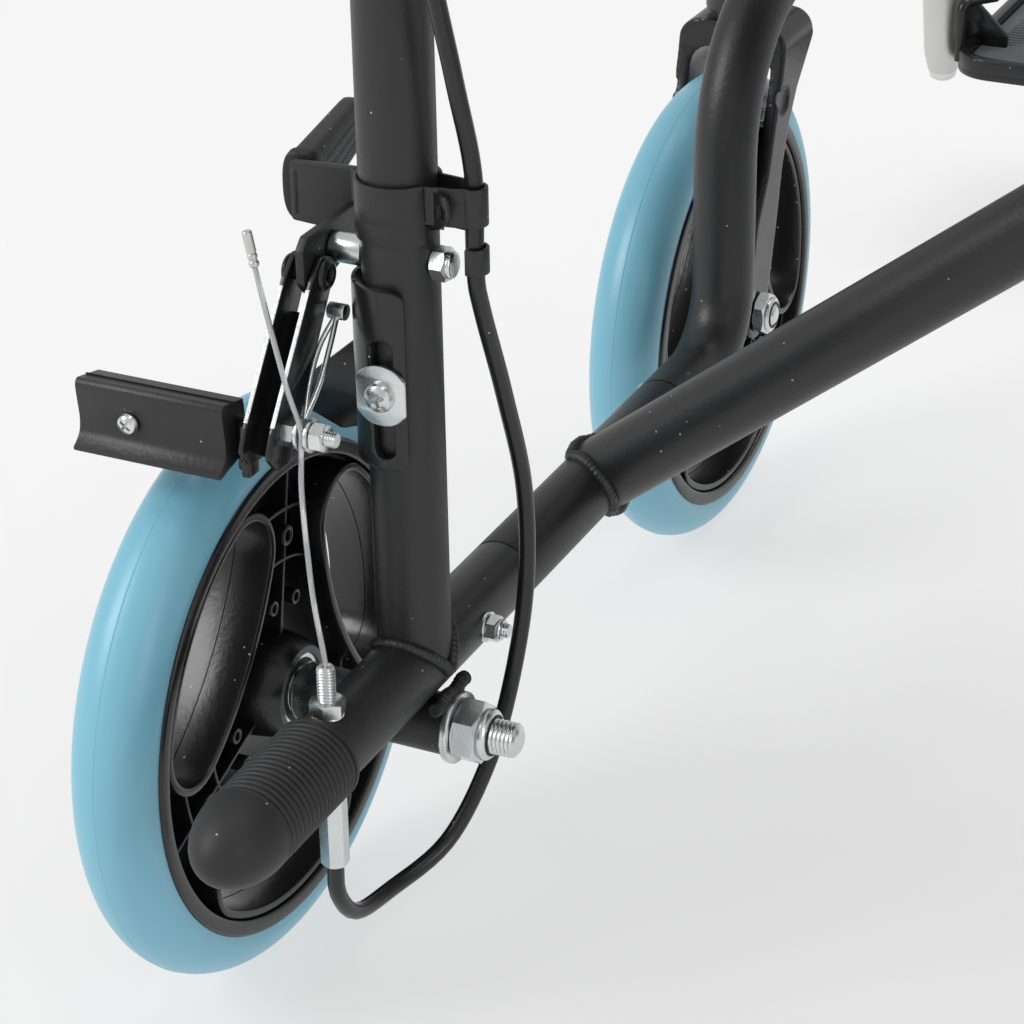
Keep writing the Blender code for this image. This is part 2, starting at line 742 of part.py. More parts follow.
def brake_arm():
    """The channel-shaped arm, with its foot and the pinch bolt for the cable's wire."""
    low, high = ARM_X
    rivet = Vector(RIVET_YZ)
    foot = Vector(ARM_FOOT_YZ)
    along = (foot - rivet).normalized()
    front = Vector((along.y, -along.x))
    top = rivet - along * 0.0045
    side_outline = [
        top + front * 0.0045,
        rivet + along * 0.002 + front * 0.0062,
        foot + along * 0.006 + front * 0.0075,
        foot + along * 0.010 + front * 0.001,
        foot + along * 0.008 - front * 0.0062,
        foot - front * 0.0075,
        rivet + along * 0.004 - front * 0.0062,
        top - front * 0.0045,
    ]
    outline = [(p.x, p.y) for p in side_outline]
    channel = extrusion(outline, "x", low, high)
    trough = [
        rivet - along * 0.02 - front * 0.02,
        rivet - along * 0.02 + front * 0.02,
        rivet + along * 0.012 + front * 0.02,
        rivet + along * 0.018 + front * 0.0050,
        foot + along * 0.02 + front * 0.0058,
        foot + along * 0.02 - front * 0.02,
    ]
    hollow = extrusion([(p.x, p.y) for p in trough], "x", low + ARM_WALL, high - ARM_WALL)
    hole = rod((low - 0.01, *RIVET_YZ), (high + 0.01, *RIVET_YZ), RIVET_R + RUN_GAP, 10)
    cut(channel, hollow, hole)
    pinch_y, pinch_z = PINCH_YZ
    x = low
    parts = [
        rod((x - 0.0165, pinch_y, pinch_z), (x + 0.004, pinch_y, pinch_z), 0.0025, 8),
        hexagon((x - 0.0045, pinch_y, pinch_z), (x + 0.0002, pinch_y, pinch_z), 0.008),
        rod((x - 0.0056, pinch_y, pinch_z), (x - 0.0044, pinch_y, pinch_z), 0.0052, 8),
        rod((x - 0.0092, pinch_y, pinch_z), (x - 0.0080, pinch_y, pinch_z), 0.0052, 8),
        hexagon((x - 0.0145, pinch_y, pinch_z), (x - 0.0091, pinch_y, pinch_z), 0.008),
    ]
    lug = box((high - 0.001, foot.x - 0.001, foot.y - 0.014), (SHOE_X[0] - GAP, foot.x + 0.006, foot.y + 0.004))
    return join(channel, lug, *parts)


def brake_shoe():
    """The pressed shoe that bears on the tyre, a flanged bar across the wheel."""
    low, high = SHOE_X
    outline = [(0.0365, 0.2240), (0.0475, 0.2262), (0.0490, 0.2245), (0.0480, 0.2130)]
    outline += [(0.0490, 0.2080), (0.0525, 0.2050), (0.0520, 0.2030), (0.0480, 0.2035)]
    outline += [(0.0380, 0.2060), (0.0345, 0.2090)]
    return extrusion(outline, "x", low, high)


def window_outline(inset):
    """One of the wheel's rounded three-cornered windows, pointing along +X."""
    root = arc_points((WINDOW_ROOT_X, 0), WINDOW_ROOT_R - inset, 115, 245, 2)
    corner = (WINDOW_CORNER_XY[0], -WINDOW_CORNER_XY[1])
    low_corner = arc_points(corner, WINDOW_CORNER_R - inset, -75, -10, 1)
    crest = arc_points((0, 0), WINDOW_REACH - inset, -WINDOW_SPREAD, WINDOW_SPREAD, 1)
    high_corner = [(x, -y) for x, y in reversed(low_corner)]
    return root + low_corner + crest + high_corner


def wheel_rim():
    """The moulded wheel: a ring, a hub, a thin web and three walled windows."""
    ring_inner = RIM_R - RING_WALL
    rim = ring((0, 0, -RIM_HALF), (0, 0, RIM_HALF), ring_inner, RIM_R, WHEEL_SIDES)
    web = rod((0, 0, -WEB_HALF), (0, 0, WEB_HALF), ring_inner + RING_WALL / 2, WHEEL_SIDES)
    hub = rod((0, 0, -HUB_HALF), (0, 0, HUB_HALF), HUB_R)
    walls = []
    openings = []
    for k in range(WINDOWS):
        angle = math.radians(WINDOW_ANGLE) + 2 * math.pi * k / WINDOWS
        turn = Matrix.Rotation(angle, 4, "Z")
        wall = extrusion(window_outline(0), "z", -WALL_HALF, WALL_HALF)
        wall.data.transform(turn)
        walls.append(wall)
        opening = extrusion(window_outline(WINDOW_WALL), "z", -2 * RIM_HALF, 2 * RIM_HALF)
        opening.data.transform(turn)
        openings.append(opening)
    bore = rod((0, 0, -2 * HUB_HALF), (0, 0, 2 * HUB_HALF), AXLE_R + RUN_GAP)
    cut(join(rim, web, hub, *walls), bore, *openings)
    across = Matrix.Rotation(math.radians(90), 4, "X") @ Matrix.Rotation(math.radians(90), 4, "Y")
    rim.data.transform(across)
    return rim


def tyre():
    """The solid tyre, a half round on a flat seat."""
    middle = WHEEL_R - TYRE_R
    section = arc_points((middle, 0), TYRE_R, -85, 85, 4)
    profile = [(BEAD_R, -TYRE_R), *section, (BEAD_R, TYRE_R)]
    return turned(profile, (0, 0, 0), (1, 0, 0), WHEEL_SIDES)


def wheel_bolt(inner_nut_x, outer_head_x, tip_x):
    """A bolt along X with its nut and washer at the inner end, all as one."""
    z = WHEEL_R
    nut = hexagon((inner_nut_x - 0.014, 0, z), (inner_nut_x - 0.0025, 0, z), AXLE_NUT_FLATS)
    washer = rod((inner_nut_x - 0.0026, 0, z), (inner_nut_x, 0, z), 0.012)
    shank = rod((tip_x, 0, z), (outer_head_x + 0.004, 0, z), AXLE_R)
    head = hexagon((outer_head_x, 0, z), (outer_head_x + 0.0075, 0, z), AXLE_NUT_FLATS)
    return join(nut, washer, shank, head)


def rear_axle():
    inner = AXLE_TUBE_INNER_X - GAP
    return wheel_bolt(inner, WHEEL_X + HUB_HALF + RUN_GAP, inner - 0.0245)


def caster_axle():
    """The caster's bolt, with a small head outside and a nut inside the fork."""
    low = STEM_X - FORK_HALF - GAP
    high = STEM_X + FORK_HALF + GAP
    y = STEM_Y + TRAIL
    shank = rod((low - 0.0085, y, WHEEL_R), (high + 0.003, y, WHEEL_R), AXLE_R)
    nut = hexagon((low - 0.0065, y, WHEEL_R), (low, y, WHEEL_R), 0.0165)
    head = hexagon((high, y, WHEEL_R), (high + 0.0055, y, WHEEL_R), 0.0165)
    return join(shank, nut, head)


def caster_fork():
    """The moulded fork with its rounded crown, its arch and the stem on top."""
    axle_y = STEM_Y + TRAIL
    side = [(STEM_Y - 0.019, CROWN_TOP_Z), (STEM_Y - 0.020, 0.190), (STEM_Y + 0.004, 0.150)]
    side += arc_points((axle_y, WHEEL_R), 0.0125, 165, 360, 8)
    side += [(axle_y + 0.004, 0.150), (STEM_Y + 0.034, 0.186), (STEM_Y + 0.024, 0.210)]
    side += [(STEM_Y + 0.018, CROWN_TOP_Z)]
    body = extrusion(side, "x", STEM_X - FORK_HALF, STEM_X + FORK_HALF)
    front = [(STEM_X - FORK_HALF, 0.05), (STEM_X - FORK_HALF, CROWN_TOP_Z)]
    front += [(STEM_X + FORK_HALF, CROWN_TOP_Z), (STEM_X + FORK_HALF, 0.05)]
    keep = extrusion(rounded_outline(front, 0.0085), "y", STEM_Y - 0.1, STEM_Y + 0.1)
    apply_boolean(body, "INTERSECT", [keep])
    arch = [(STEM_X - FORK_INNER_HALF, 0.02), (STEM_X - FORK_INNER_HALF, CROWN_UNDER_Z)]
    arch += [(STEM_X + FORK_INNER_HALF, CROWN_UNDER_Z), (STEM_X + FORK_INNER_HALF, 0.02)]
    hollow = extrusion(rounded_outline(arch, 0.007), "y", STEM_Y - 0.12, STEM_Y + 0.12)
    hole = rod((STEM_X - 0.05, axle_y, WHEEL_R), (STEM_X + 0.05, axle_y, WHEEL_R), AXLE_R + GAP)
    cut(body, hollow, hole)
    stem = rod((STEM_X, STEM_Y, CROWN_TOP_Z - 0.006), (STEM_X, STEM_Y, HOUSING_Z[1] - 0.016), STEM_R)
    return join(body, stem)


def armrest_pad():
    """The padded rest along the top of the side frame."""
    rear, front = PAD_Y[1], PAD_Y[0]
    top_view = [(RAIL_X - PAD_HALF, front), (RAIL_X + PAD_HALF, front)]
    top_view += [(RAIL_X + PAD_HALF, rear), (RAIL_X - PAD_HALF, rear)]
    low = ARM_Z + TUBE_R + GAP
    return extrusion(rounded_outline(top_view, 0.018, 4), "z", low, low + PAD_HEIGHT)


def side_panel():
    """The guard screwed to the outside of the side frame."""
    rear = -TUBE_R - PANEL_REAR_GAP
    low = SUPPORT_Z - 0.006
    corners = [(UPRIGHT_Y - 0.006, low), (rear, low)]
    corners += [(rear, POST_BEND_Z), (post_point(ARM_Z).y + rear, ARM_Z - 0.010)]
    corners += [(UPRIGHT_Y + 0.030, ARM_Z - 0.010), (UPRIGHT_Y - 0.006, ARM_Z - 0.046)]
    inner = RAIL_X + TUBE_R + PANEL_STANDOFF
    return extrusion(rounded_outline(corners, 0.012, 3), "x", inner, inner + PANEL_WALL)


def footrest_hanger():
    """The bent tube that swings on the front upright and holds the footrest tube."""
    elbow = shin_point(0.474)
    foot = shin_point(HANGER_FOOT_Z)
    path = [(RAIL_X, HANGER_Y, 0.3505), (RAIL_X, HANGER_Y, 0.500), elbow, foot]
    hanger = tube(path, HANGER_R, 0.040)
    pin_hole = rod((RAIL_X, HANGER_Y, 0.34), (RAIL_X, HANGER_Y, 0.377), 0.006 + RUN_GAP)
    lean = (shin_point(SHIN_TOP_Z) - foot).normalized()
    bore = rod(foot - lean * 0.02, shin_point(SHIN_TOP_Z), SHIN_R + GAP)
    return cut(hanger, pin_hole, bore)


def footrest_tube():
    """The bright sliding tube, narrowed at its foot, with the pin that the plate turns on."""
    foot = Vector((SHIN_X, *SHIN_FOOT))
    top = shin_point(SHIN_TOP_Z - 0.002)
    length = (top - foot).length
    profile = [(0, 0), (0.0060, 0.0), (0.0072, 0.0025), (0.0076, 0.0050), (SHIN_R, 0.014)]
    profile += [(SHIN_R, length), (0, length)]
    shin = turned(profile, foot, (top - foot).normalized())
    y = shin_point(PLATE_PIVOT_Z).y
    reach = SHIN_R + HINGE_GAP + HINGE_WALL + 0.003
    pin = rod((SHIN_X, y - reach, PLATE_PIVOT_Z), (SHIN_X, y + reach, PLATE_PIVOT_Z), 0.004)
    return join(shin, pin)


def footplate():
    """The tray-shaped plate with a raised border and the two eyes it folds up on."""
    low, high = PLATE_Z
    outline = [(PLATE_X[0], PLATE_Y[0]), (PLATE_X[1], PLATE_Y[0])]
    outline += [(PLATE_X[1], PLATE_Y[1]), (PLATE_X[0], PLATE_Y[1])]
    plate = extrusion(rounded_outline(outline, 0.020, 4), "z", low, high)
    inside = [(PLATE_X[0] + 0.006, PLATE_Y[0] + 0.006), (PLATE_X[1] - 0.006, PLATE_Y[0] + 0.006)]
    inside += [(PLATE_X[1] - 0.006, PLATE_Y[1] - 0.006), (PLATE_X[0] + 0.006, PLATE_Y[1] - 0.006)]
    tread = extrusion(rounded_outline(inside, 0.015, 4), "z", low + 0.0055, high + 0.01)
    cut(plate, tread)
    y = shin_point(PLATE_PIVOT_Z).y
    eyes = []
    for side in (-1, 1):
        near = y + side * (SHIN_R + HINGE_GAP)
        start, end = sorted((near, near + side * HINGE_WALL))
        eye = [(PLATE_X[1] - 0.016, low + 0.001), (PLATE_X[1] - 0.001, low + 0.001)]
        eye += [(SHIN_X + 0.007, PLATE_PIVOT_Z - 0.005), (SHIN_X + 0.007, PLATE_PIVOT_Z + 0.006)]
        eye += [(SHIN_X - 0.008, PLATE_PIVOT_Z + 0.006), (PLATE_X[1] - 0.016, high + 0.003)]
        eyes.append(extrusion(eye, "y", start, end))
    join(plate, *eyes)
    hole = rod((SHIN_X, y - 0.03, PLATE_PIVOT_Z), (SHIN_X, y + 0.03, PLATE_PIVOT_Z), 0.004 + RUN_GAP)
    return cut(plate, hole)


def rail_feet(side):
    """The two feet under a seat rail, which stand on the side frame's seat tube when the chair is open."""
    low = SUPPORT_Z + SUPPORT_R + GAP
    inner, outer = sorted(side * (RAIL_X - reach) for reach in RAIL_FOOT_REACH)
    made = []
    for y in RAIL_FOOT_YS:
        made.append(box((inner, y - 0.012, low), (outer, y + 0.012, SEAT_RAIL_Z - 0.004)))
    return made


def brace(side, y):
    """One leg of the X: a sleeve on its own lower rail and a rail under the other seat edge."""
    foot = Vector((side * RAIL_X, y, RAIL_Z))
    head = Vector((-side * RAIL_X, y, SEAT_RAIL_Z))
    leg = rod(foot, head, BRACE_R)
    sleeve = rod(
        (foot.x, SLEEVE_REAR_Y - RUN_GAP, RAIL_Z),
        (foot.x, SLEEVE_FRONT_Y + RUN_GAP, RAIL_Z),
        TUBE_R,
    )
    seat_rail = rod((head.x, SEAT_RAIL_REAR_Y, SEAT_RAIL_Z), (head.x, SEAT_RAIL_FRONT_Y, SEAT_RAIL_Z), SEAT_RAIL_R)
    bore = rod((foot.x, 0, RAIL_Z), (foot.x, SLEEVE_FRONT_Y * 2, RAIL_Z), SLEEVE_BORE_R)
    return cut(join(leg, sleeve, seat_rail, *rail_feet(-side)), bore)


def cross_brace_a():
    """The leg nearer the back, with the hole for the bolt that joins the two."""
    leg = brace(1, BRACE_Y)
    hole = rod((0, BRACE_Y - 0.03, CROSS_Z), (0, BRACE_Y + 0.03, CROSS_Z), CROSS_BOLT_R + RUN_GAP)
    return cut(leg, hole)


def cross_brace_b():
    """The leg nearer the front, with the cross bolt, its spacing washer and its nut."""
    y = BRACE_Y - BRACE_PITCH
    leg = brace(-1, y)
    rear = BRACE_Y + BRACE_R
    front = y - BRACE_R
    bolt = rod((0, front - 0.006, CROSS_Z), (0, rear + 0.011, CROSS_Z), CROSS_BOLT_R)
    nut = hexagon((0, rear + RUN_GAP, CROSS_Z), (0, rear + 0.008, CROSS_Z), 0.013)
    head = hexagon((0, front - 0.005, CROSS_Z), (0, front + 0.003, CROSS_Z), 0.013)
    washer = rod((0, y + BRACE_R - 0.003, CROSS_Z), (0, BRACE_Y - BRACE_R - GAP, CROSS_Z), 0.009)
    return join(leg, bolt, nut, head, washer)


def seat_cover():
    """The sling between the two seat rails, sagging a little in the middle."""
    low = SEAT_RAIL_TOP_Z + GAP
    steps = 8
    inner = RAIL_X - SEAT_RAIL_R
    under = [(-RAIL_X - 0.006, low)]
    for k in range(steps + 1):
        share = 2 * k / steps - 1
        under.append((inner * share, low - SEAT_SAG * (1 - share**2)))
    under.append((RAIL_X + 0.006, low))
    over = [(x, z + SEAT_THICK) for x, z in reversed(under)]
    return extrusion(under + over, "y", SEAT_RAIL_FRONT_Y + 0.004, SEAT_RAIL_REAR_Y - 0.004)


def back_cover():
    """The back sling, one strip wrapped round both posts and stretched across their front."""
    low, high = BACK_Z
    steps = 10
    inner = clear_radius(TUBE_R, 305 / steps)
    outline = []
    for radius, way in ((inner + BACK_THICK, 1), (inner, -1)):
        left = arc_points((RAIL_X, 0), radius, 215, -90, steps)
        right = arc_points((-RAIL_X, 0), radius, -90, -395, steps)
        outline += (left + right)[::way]
    cover = extrusion(outline, "z", 0, (high - low) / math.cos(POST_LEAN))
    lean = Matrix.Rotation(-POST_LEAN, 4, "X")
    cover.data.transform(Matrix.Translation((0, post_point(low).y, low)) @ lean)
    notches = []
    half = TUBE_R + BACK_NOTCH_GAP
    y = post_point(ARM_Z).y
    for side, _ in SIDES:
        low_corner = (side * RAIL_X - half, y - 3 * TUBE_R, ARM_Z - half)
        high_corner = (side * RAIL_X + half, y, ARM_Z + half)
        notches.append(box(low_corner, high_corner))
    return cut(cover, *notches)


def cord(points, radius, spacing):
    """A plain tube along a smooth route."""
    return tube(smooth_route(points, spacing), radius, sides=6)


def brake_cable():
    """The sheath from the adjuster's coupling, round the axle nut, up to the push handle."""
    x, y = CLIP_CABLE_XY
    points = [
        (RAIL_X, ADJUSTER_Y, COUPLING_Z[0] - GAP),
        (RAIL_X + 0.0005, 0.056, 0.066),
        (RAIL_X, 0.046, 0.053),
        (RAIL_X - 0.002, 0.026, 0.0495),
        (0.2035, 0.004, 0.057),
        (0.1965, -0.012, 0.078),
        (0.1925, -0.023, 0.104),
        (0.1900, -0.031, 0.138),
        (0.1895, -0.030, 0.175),
        (0.1900, -0.018, 0.213),
        (x, -0.004, 0.247),
        (x, y, 0.262),
        (x, y, 0.292),
        (0.1905, 0.010, 0.325),
        (0.1930, 0.021, 0.370),
        (0.1980, 0.024, 0.430),
        (0.2030, 0.023, 0.500),
        (0.2060, 0.027, 0.560),
        (0.2075, 0.0335, 0.640),
        (0.2080, 0.0415, 0.720),
        (0.2090, 0.0495, 0.800),
        (0.2115, 0.0560, 0.855),
        (0.2140, 0.0660, 0.888),
        (RAIL_X, LEVER_PIVOT[0] - 0.0225, LEVER_PIVOT[1] - 0.0010),
    ]
    return cord(points, SHEATH_R, 0.027)


def brake_wire():
    """The bare wire from the hollow screw, past the pinch bolt, to its free crimped end."""
    x = ARM_X[0] - 0.0068
    pinch_y, pinch_z = PINCH_YZ
    y = pinch_y + 0.0025 + GAP + WIRE_R
    points = [
        (RAIL_X, ADJUSTER_Y, ADJUSTER_TOP_Z - 0.0085),
        (RAIL_X, ADJUSTER_Y, ADJUSTER_TOP_Z + 0.001),
        (RAIL_X + 0.0055, 0.0535, 0.172),
        (x - 0.0015, y + 0.0035, pinch_z - 0.018),
        (x, y, pinch_z - 0.004),
        (x, y, pinch_z + 0.004),
        (x + 0.0035, y + 0.001, pinch_z + 0.018),
        (x + 0.0090, y + 0.002, pinch_z + 0.045),
        (x + 0.0125, y + 0.003, pinch_z + 0.066),
    ]
    return cord(points, WIRE_R, 0.012)


def chair_materials():
    return {
        "black_powder_coat": material("black_powder_coat", (0.012, 0.012, 0.013), 0.42, 0.0),
        "blue_tyre": material("blue_tyre", (0.115, 0.335, 0.440), 0.38),
        "black_moulding": material("black_moulding", (0.010, 0.010, 0.011), 0.35),
        "black_rubber": material("black_rubber", (0.014, 0.014, 0.015), 0.55),
        "zinc_plate": material("zinc_plate", (0.62, 0.66, 0.66), 0.28, 1.0),
        "grey_tube": material("grey_tube", (0.46, 0.46, 0.42), 0.45, 0.3),
        "black_sheath": material("black_sheath", (0.010, 0.010, 0.010), 0.40),
        "black_fabric": material("black_fabric", (0.014, 0.014, 0.016), 0.85),
        "padded_vinyl": material("padded_vinyl", (0.016, 0.016, 0.017), 0.55),
    }


def shade_round(mesh):
    mesh.shade_smooth()
    mesh.set_sharp_from_angle(angle=math.radians(35))


class Assembly:
    """Places finished shapes on named joints, on the left and mirrored on the right."""

    def __init__(self):
        self.materials = chair_materials()
        self.root = bpy.data.objects.new("chair", None)
        self.root.location = (0, AXLE_Y, 0)
        bpy.context.collection.objects.link(self.root)
        self.joints = {}

    def joint(self, name, point, parent=None, side=1):
        """An empty on a moving piece's axis, on the given side."""
        place = Vector((side * point[0], point[1], point[2]))
        above, origin = self.joints.get(parent, (self.root, Vector()))
        empty = bpy.data.objects.new(name + "_axis", None)
        bpy.context.collection.objects.link(empty)
        empty.parent = above
        empty.location = place - origin
        self.joints[name] = (empty, place)

    def put(self, name, shape, finish, joint=None, side=1):
        """The shape as a node on its joint, mirrored when the side is -1."""
        above, origin = self.joints.get(joint, (self.root, Vector()))
        mesh = shape.data.copy()
        mesh.name = name
        if side < 0:
            mesh.transform(Matrix.Diagonal((-1, 1, 1, 1)))
            mesh.flip_normals()
        mesh.transform(Matrix.Translation(-origin))
        mesh.materials.clear()
        mesh.materials.append(self.materials[finish])
        shade_round(mesh)
        thing = bpy.data.objects.new(name, mesh)
        bpy.context.collection.objects.link(thing)
        thing.parent = above

    def put_pair(self, name, shape, finish, joint=None):
        """The shape once on each side; a joint's name gets the side's name too."""
        for side, label in SIDES:
            on = f"{joint}_{label}" if joint else None
            self.put(f"{name}_{label}", shape, finish, on, side)
        bpy.data.objects.remove(shape, do_unlink=True)


def add_joints(chair):
    for side, label in SIDES:
        axle = (WHEEL_X, 0, WHEEL_R)
        stem = (STEM_X, STEM_Y, WHEEL_R)
        caster = (STEM_X, STEM_Y + TRAIL, WHEEL_R)
        lever = (LEVER_X[0], 0, PIVOT_BOLT_Z)
        rivet = (LEVER_X[0], *RIVET_YZ)
        chair.joint(f"rear_spin_{label}", axle, side=side)
        chair.joint(f"caster_swivel_{label}", stem, side=side)
        chair.joint(f"caster_spin_{label}", caster, f"caster_swivel_{label}", side)
        chair.joint(f"wheel_lever_{label}", lever, side=side)
        chair.joint(f"arm_link_{label}", rivet, f"wheel_lever_{label}", side)
        chair.joint(f"hand_lever_{label}", (RAIL_X, *LEVER_PIVOT), side=side)
        chair.joint(f"footrest_swing_{label}", (RAIL_X, HANGER_Y, 0.40), side=side)
        flip = (SHIN_X, shin_point(PLATE_PIVOT_Z).y, PLATE_PIVOT_Z)
        chair.joint(f"footplate_flip_{label}", flip, f"footrest_swing_{label}", side)
    chair.joint("brace_a", (RAIL_X, 0, RAIL_Z))
    chair.joint("brace_b", (0, 0, CROSS_Z), "brace_a")


def add_frame(chair):
    chair.put_pair("side_frame", side_frame(), "black_powder_coat")
    chair.put_pair("tipping_cap", tipping_cap(), "black_rubber")
    chair.put_pair("armrest_pad", armrest_pad(), "padded_vinyl")
    chair.put_pair("side_panel", side_panel(), "black_moulding")
    for name, shape in (("brace_a", cross_brace_a()), ("brace_b", cross_brace_b())):
        chair.put(f"cross_{name}", shape, "black_powder_coat", name)
        bpy.data.objects.remove(shape, do_unlink=True)
    for name, shape in (("seat_cover", seat_cover()), ("back_cover", back_cover())):
        chair.put(name, shape, "black_fabric")
        bpy.data.objects.remove(shape, do_unlink=True)


def add_handles(chair):
    chair.put_pair("push_grip", push_grip(), "black_rubber")
    chair.put_pair("hand_brake_bracket", hand_brake_bracket(), "black_powder_coat")
    chair.put_pair("hand_brake_lever", hand_brake_lever(), "black_moulding", "hand_lever")


def add_cables(chair):
    chair.put_pair("cable_adjuster", cable_adjuster(), "zinc_plate")
    chair.put_pair("cable_clip", cable_clip(), "black_powder_coat")
    chair.put_pair("brake_cable", brake_cable(), "black_sheath")
    chair.put_pair("brake_wire", brake_wire(), "zinc_plate")


def add_wheel_brakes(chair):
    chair.put_pair("brake_bracket", brake_bracket(), "black_powder_coat")
    chair.put_pair("brake_pivot_bolt", brake_pivot_bolt(), "zinc_plate")
    chair.put_pair("wheel_brake_lever", wheel_brake_lever(), "black_powder_coat", "wheel_lever")
    chair.put_pair("brake_lever_grip", brake_lever_grip(), "black_rubber", "wheel_lever")
    chair.put_pair("brake_rivet", brake_rivet(), "black_powder_coat", "arm_link")
    chair.put_pair("brake_arm", brake_arm(), "black_powder_coat", "arm_link")
    chair.put_pair("brake_shoe", brake_shoe(), "black_powder_coat", "arm_link")


def add_wheels(chair):
    """The four wheels share one rim and one tyre."""
    rim, band = wheel_rim(), tyre()
    rear = Matrix.Translation((WHEEL_X, 0, WHEEL_R))
    front = Matrix.Translation((STEM_X, STEM_Y + TRAIL, WHEEL_R))
    for label, place, joint in (("rear", rear, "rear_spin"), ("caster", front, "caster_spin")):
        for kind, shape, finish in (("rim", rim, "black_moulding"), ("tyre", band, "blue_tyre")):
            copy = shape.copy()
            copy.data = shape.data.copy()
            bpy.context.collection.objects.link(copy)
            copy.data.transform(place)
            chair.put_pair(f"{label}_{kind}", copy, finish, joint)
    for shape in (rim, band):
        bpy.data.objects.remove(shape, do_unlink=True)
    chair.put_pair("rear_axle", rear_axle(), "zinc_plate")
    chair.put_pair("caster_axle", caster_axle(), "zinc_plate", "caster_swivel")
    chair.put_pair("caster_fork", caster_fork(), "black_moulding", "caster_swivel")


def add_footrests(chair):
    chair.put_pair("footrest_hanger", footrest_hanger(), "black_powder_coat", "footrest_swing")
    chair.put_pair("footrest_tube", footrest_tube(), "grey_tube", "footrest_swing")
    chair.put_pair("footplate", footplate(), "black_moulding", "footplate_flip")


def main():
    clear_scene()
    chair = Assembly()
    add_joints(chair)
    add_frame(chair)
    add_handles(chair)
    add_cables(chair)
    add_wheel_brakes(chair)
    add_wheels(chair)
    add_footrests(chair)


main()
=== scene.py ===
# %% [markdown]
# # A folding transport chair, seen close over its left rear wheel
# The chair is pushed by someone else, so all four wheels are small. The packed
# model gives every piece its size, its place and its joint. This lesson dresses
# it: smooth tubes with weld beads, moulded wheels, plated bolts, rubber and cloth.

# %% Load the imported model
import math

import bmesh
import bpy
from mathutils import Matrix, Vector


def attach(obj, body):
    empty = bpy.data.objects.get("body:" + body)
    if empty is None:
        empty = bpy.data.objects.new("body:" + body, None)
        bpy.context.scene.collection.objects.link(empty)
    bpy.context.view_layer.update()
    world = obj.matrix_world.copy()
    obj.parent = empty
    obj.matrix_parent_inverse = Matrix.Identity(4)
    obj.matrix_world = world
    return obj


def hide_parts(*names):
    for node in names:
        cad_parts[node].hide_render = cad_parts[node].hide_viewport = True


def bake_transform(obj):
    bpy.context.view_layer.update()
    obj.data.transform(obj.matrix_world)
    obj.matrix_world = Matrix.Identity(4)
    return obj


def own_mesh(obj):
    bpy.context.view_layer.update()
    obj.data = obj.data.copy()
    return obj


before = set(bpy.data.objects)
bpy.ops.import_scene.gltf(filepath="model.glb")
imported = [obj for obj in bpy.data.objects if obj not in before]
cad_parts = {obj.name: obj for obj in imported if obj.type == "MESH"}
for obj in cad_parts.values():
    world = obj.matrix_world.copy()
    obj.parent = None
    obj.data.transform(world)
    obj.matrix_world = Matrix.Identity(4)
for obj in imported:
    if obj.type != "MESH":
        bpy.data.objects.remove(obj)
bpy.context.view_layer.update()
print("nodes in the packed model:", len(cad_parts))

# %% [markdown]
# ## The camera
# The photograph is taken from behind the chair with a long lens, from above and
# from the left of the middle, so tubes hardly converge. The pose was solved from
# the two wheel rims. Lengths along Y are counted from the rear axle.

# %% Camera at the photograph's place
AXLE_Y = 0.286
CAMERA_PLACE = (-0.1766, 0.7294 + AXLE_Y, 0.6075)
YAW = 0.454
PITCH = 0.482
ROLL = -0.018


def aim(place, yaw, pitch, roll):
    """The camera's matrix when it looks along -Y, turned to +X by yaw and down by pitch."""
    forward = Vector((math.sin(yaw) * math.cos(pitch), -math.cos(yaw) * math.cos(pitch), -math.sin(pitch)))
    right = forward.cross(Vector((0, 0, 1))).normalized()
    up = right.cross(forward)
    across = right * math.cos(roll) + up * math.sin(roll)
    above = up * math.cos(roll) - right * math.sin(roll)
    turn = Matrix((across, above, -forward)).transposed().to_4x4()
    return Matrix.Translation(place) @ turn


lens = bpy.data.cameras.new("photo_camera")
lens.lens = 104.55
lens.sensor_fit = "HORIZONTAL"
lens.sensor_width = 36.0
lens.clip_start = 0.01
camera = bpy.data.objects.new("photo_camera", lens)
camera.matrix_world = aim(CAMERA_PLACE, YAW, PITCH, ROLL)
bpy.context.scene.collection.objects.link(camera)
bpy.context.scene.camera = camera

# %% [markdown]
# ## The studio
# A pale seamless floor, a bright even world and one large lamp on the picture's
# left give the soft shadows that run to the right. The floor's own colour makes
# the pale background, so the lamps stay at a plain level.

# %% Floor, world and lamps
def make_floor():
    bm = bmesh.new()
    bmesh.ops.create_grid(bm, x_segments=1, y_segments=1, size=30)
    mesh = bpy.data.meshes.new("studio_floor")
    bm.to_mesh(mesh)
    bm.free()
    floor = bpy.data.objects.new("studio_floor", mesh)
    bpy.context.scene.collection.objects.link(floor)
    paper = bpy.data.materials.new("studio_paper")
    paper.use_nodes = True
    shader = paper.node_tree.nodes["Principled BSDF"]
    shader.inputs["Base Color"].default_value = (0.286, 0.286, 0.286, 1)
    shader.inputs["Emission Color"].default_value = (1, 1, 1, 1)
    shader.inputs["Emission Strength"].default_value = 0.60
    shader.inputs["Roughness"].default_value = 0.9
    shader.inputs["Specular IOR Level"].default_value = 0.1
    mesh.materials.append(paper)


def make_world(strength):
    world = bpy.data.worlds.new("studio_light")
    bpy.context.scene.world = world
    world.use_nodes = True
    background = world.node_tree.nodes["Background"]
    background.inputs["Color"].default_value = (1, 1, 1, 1)
    background.inputs["Strength"].default_value = strength


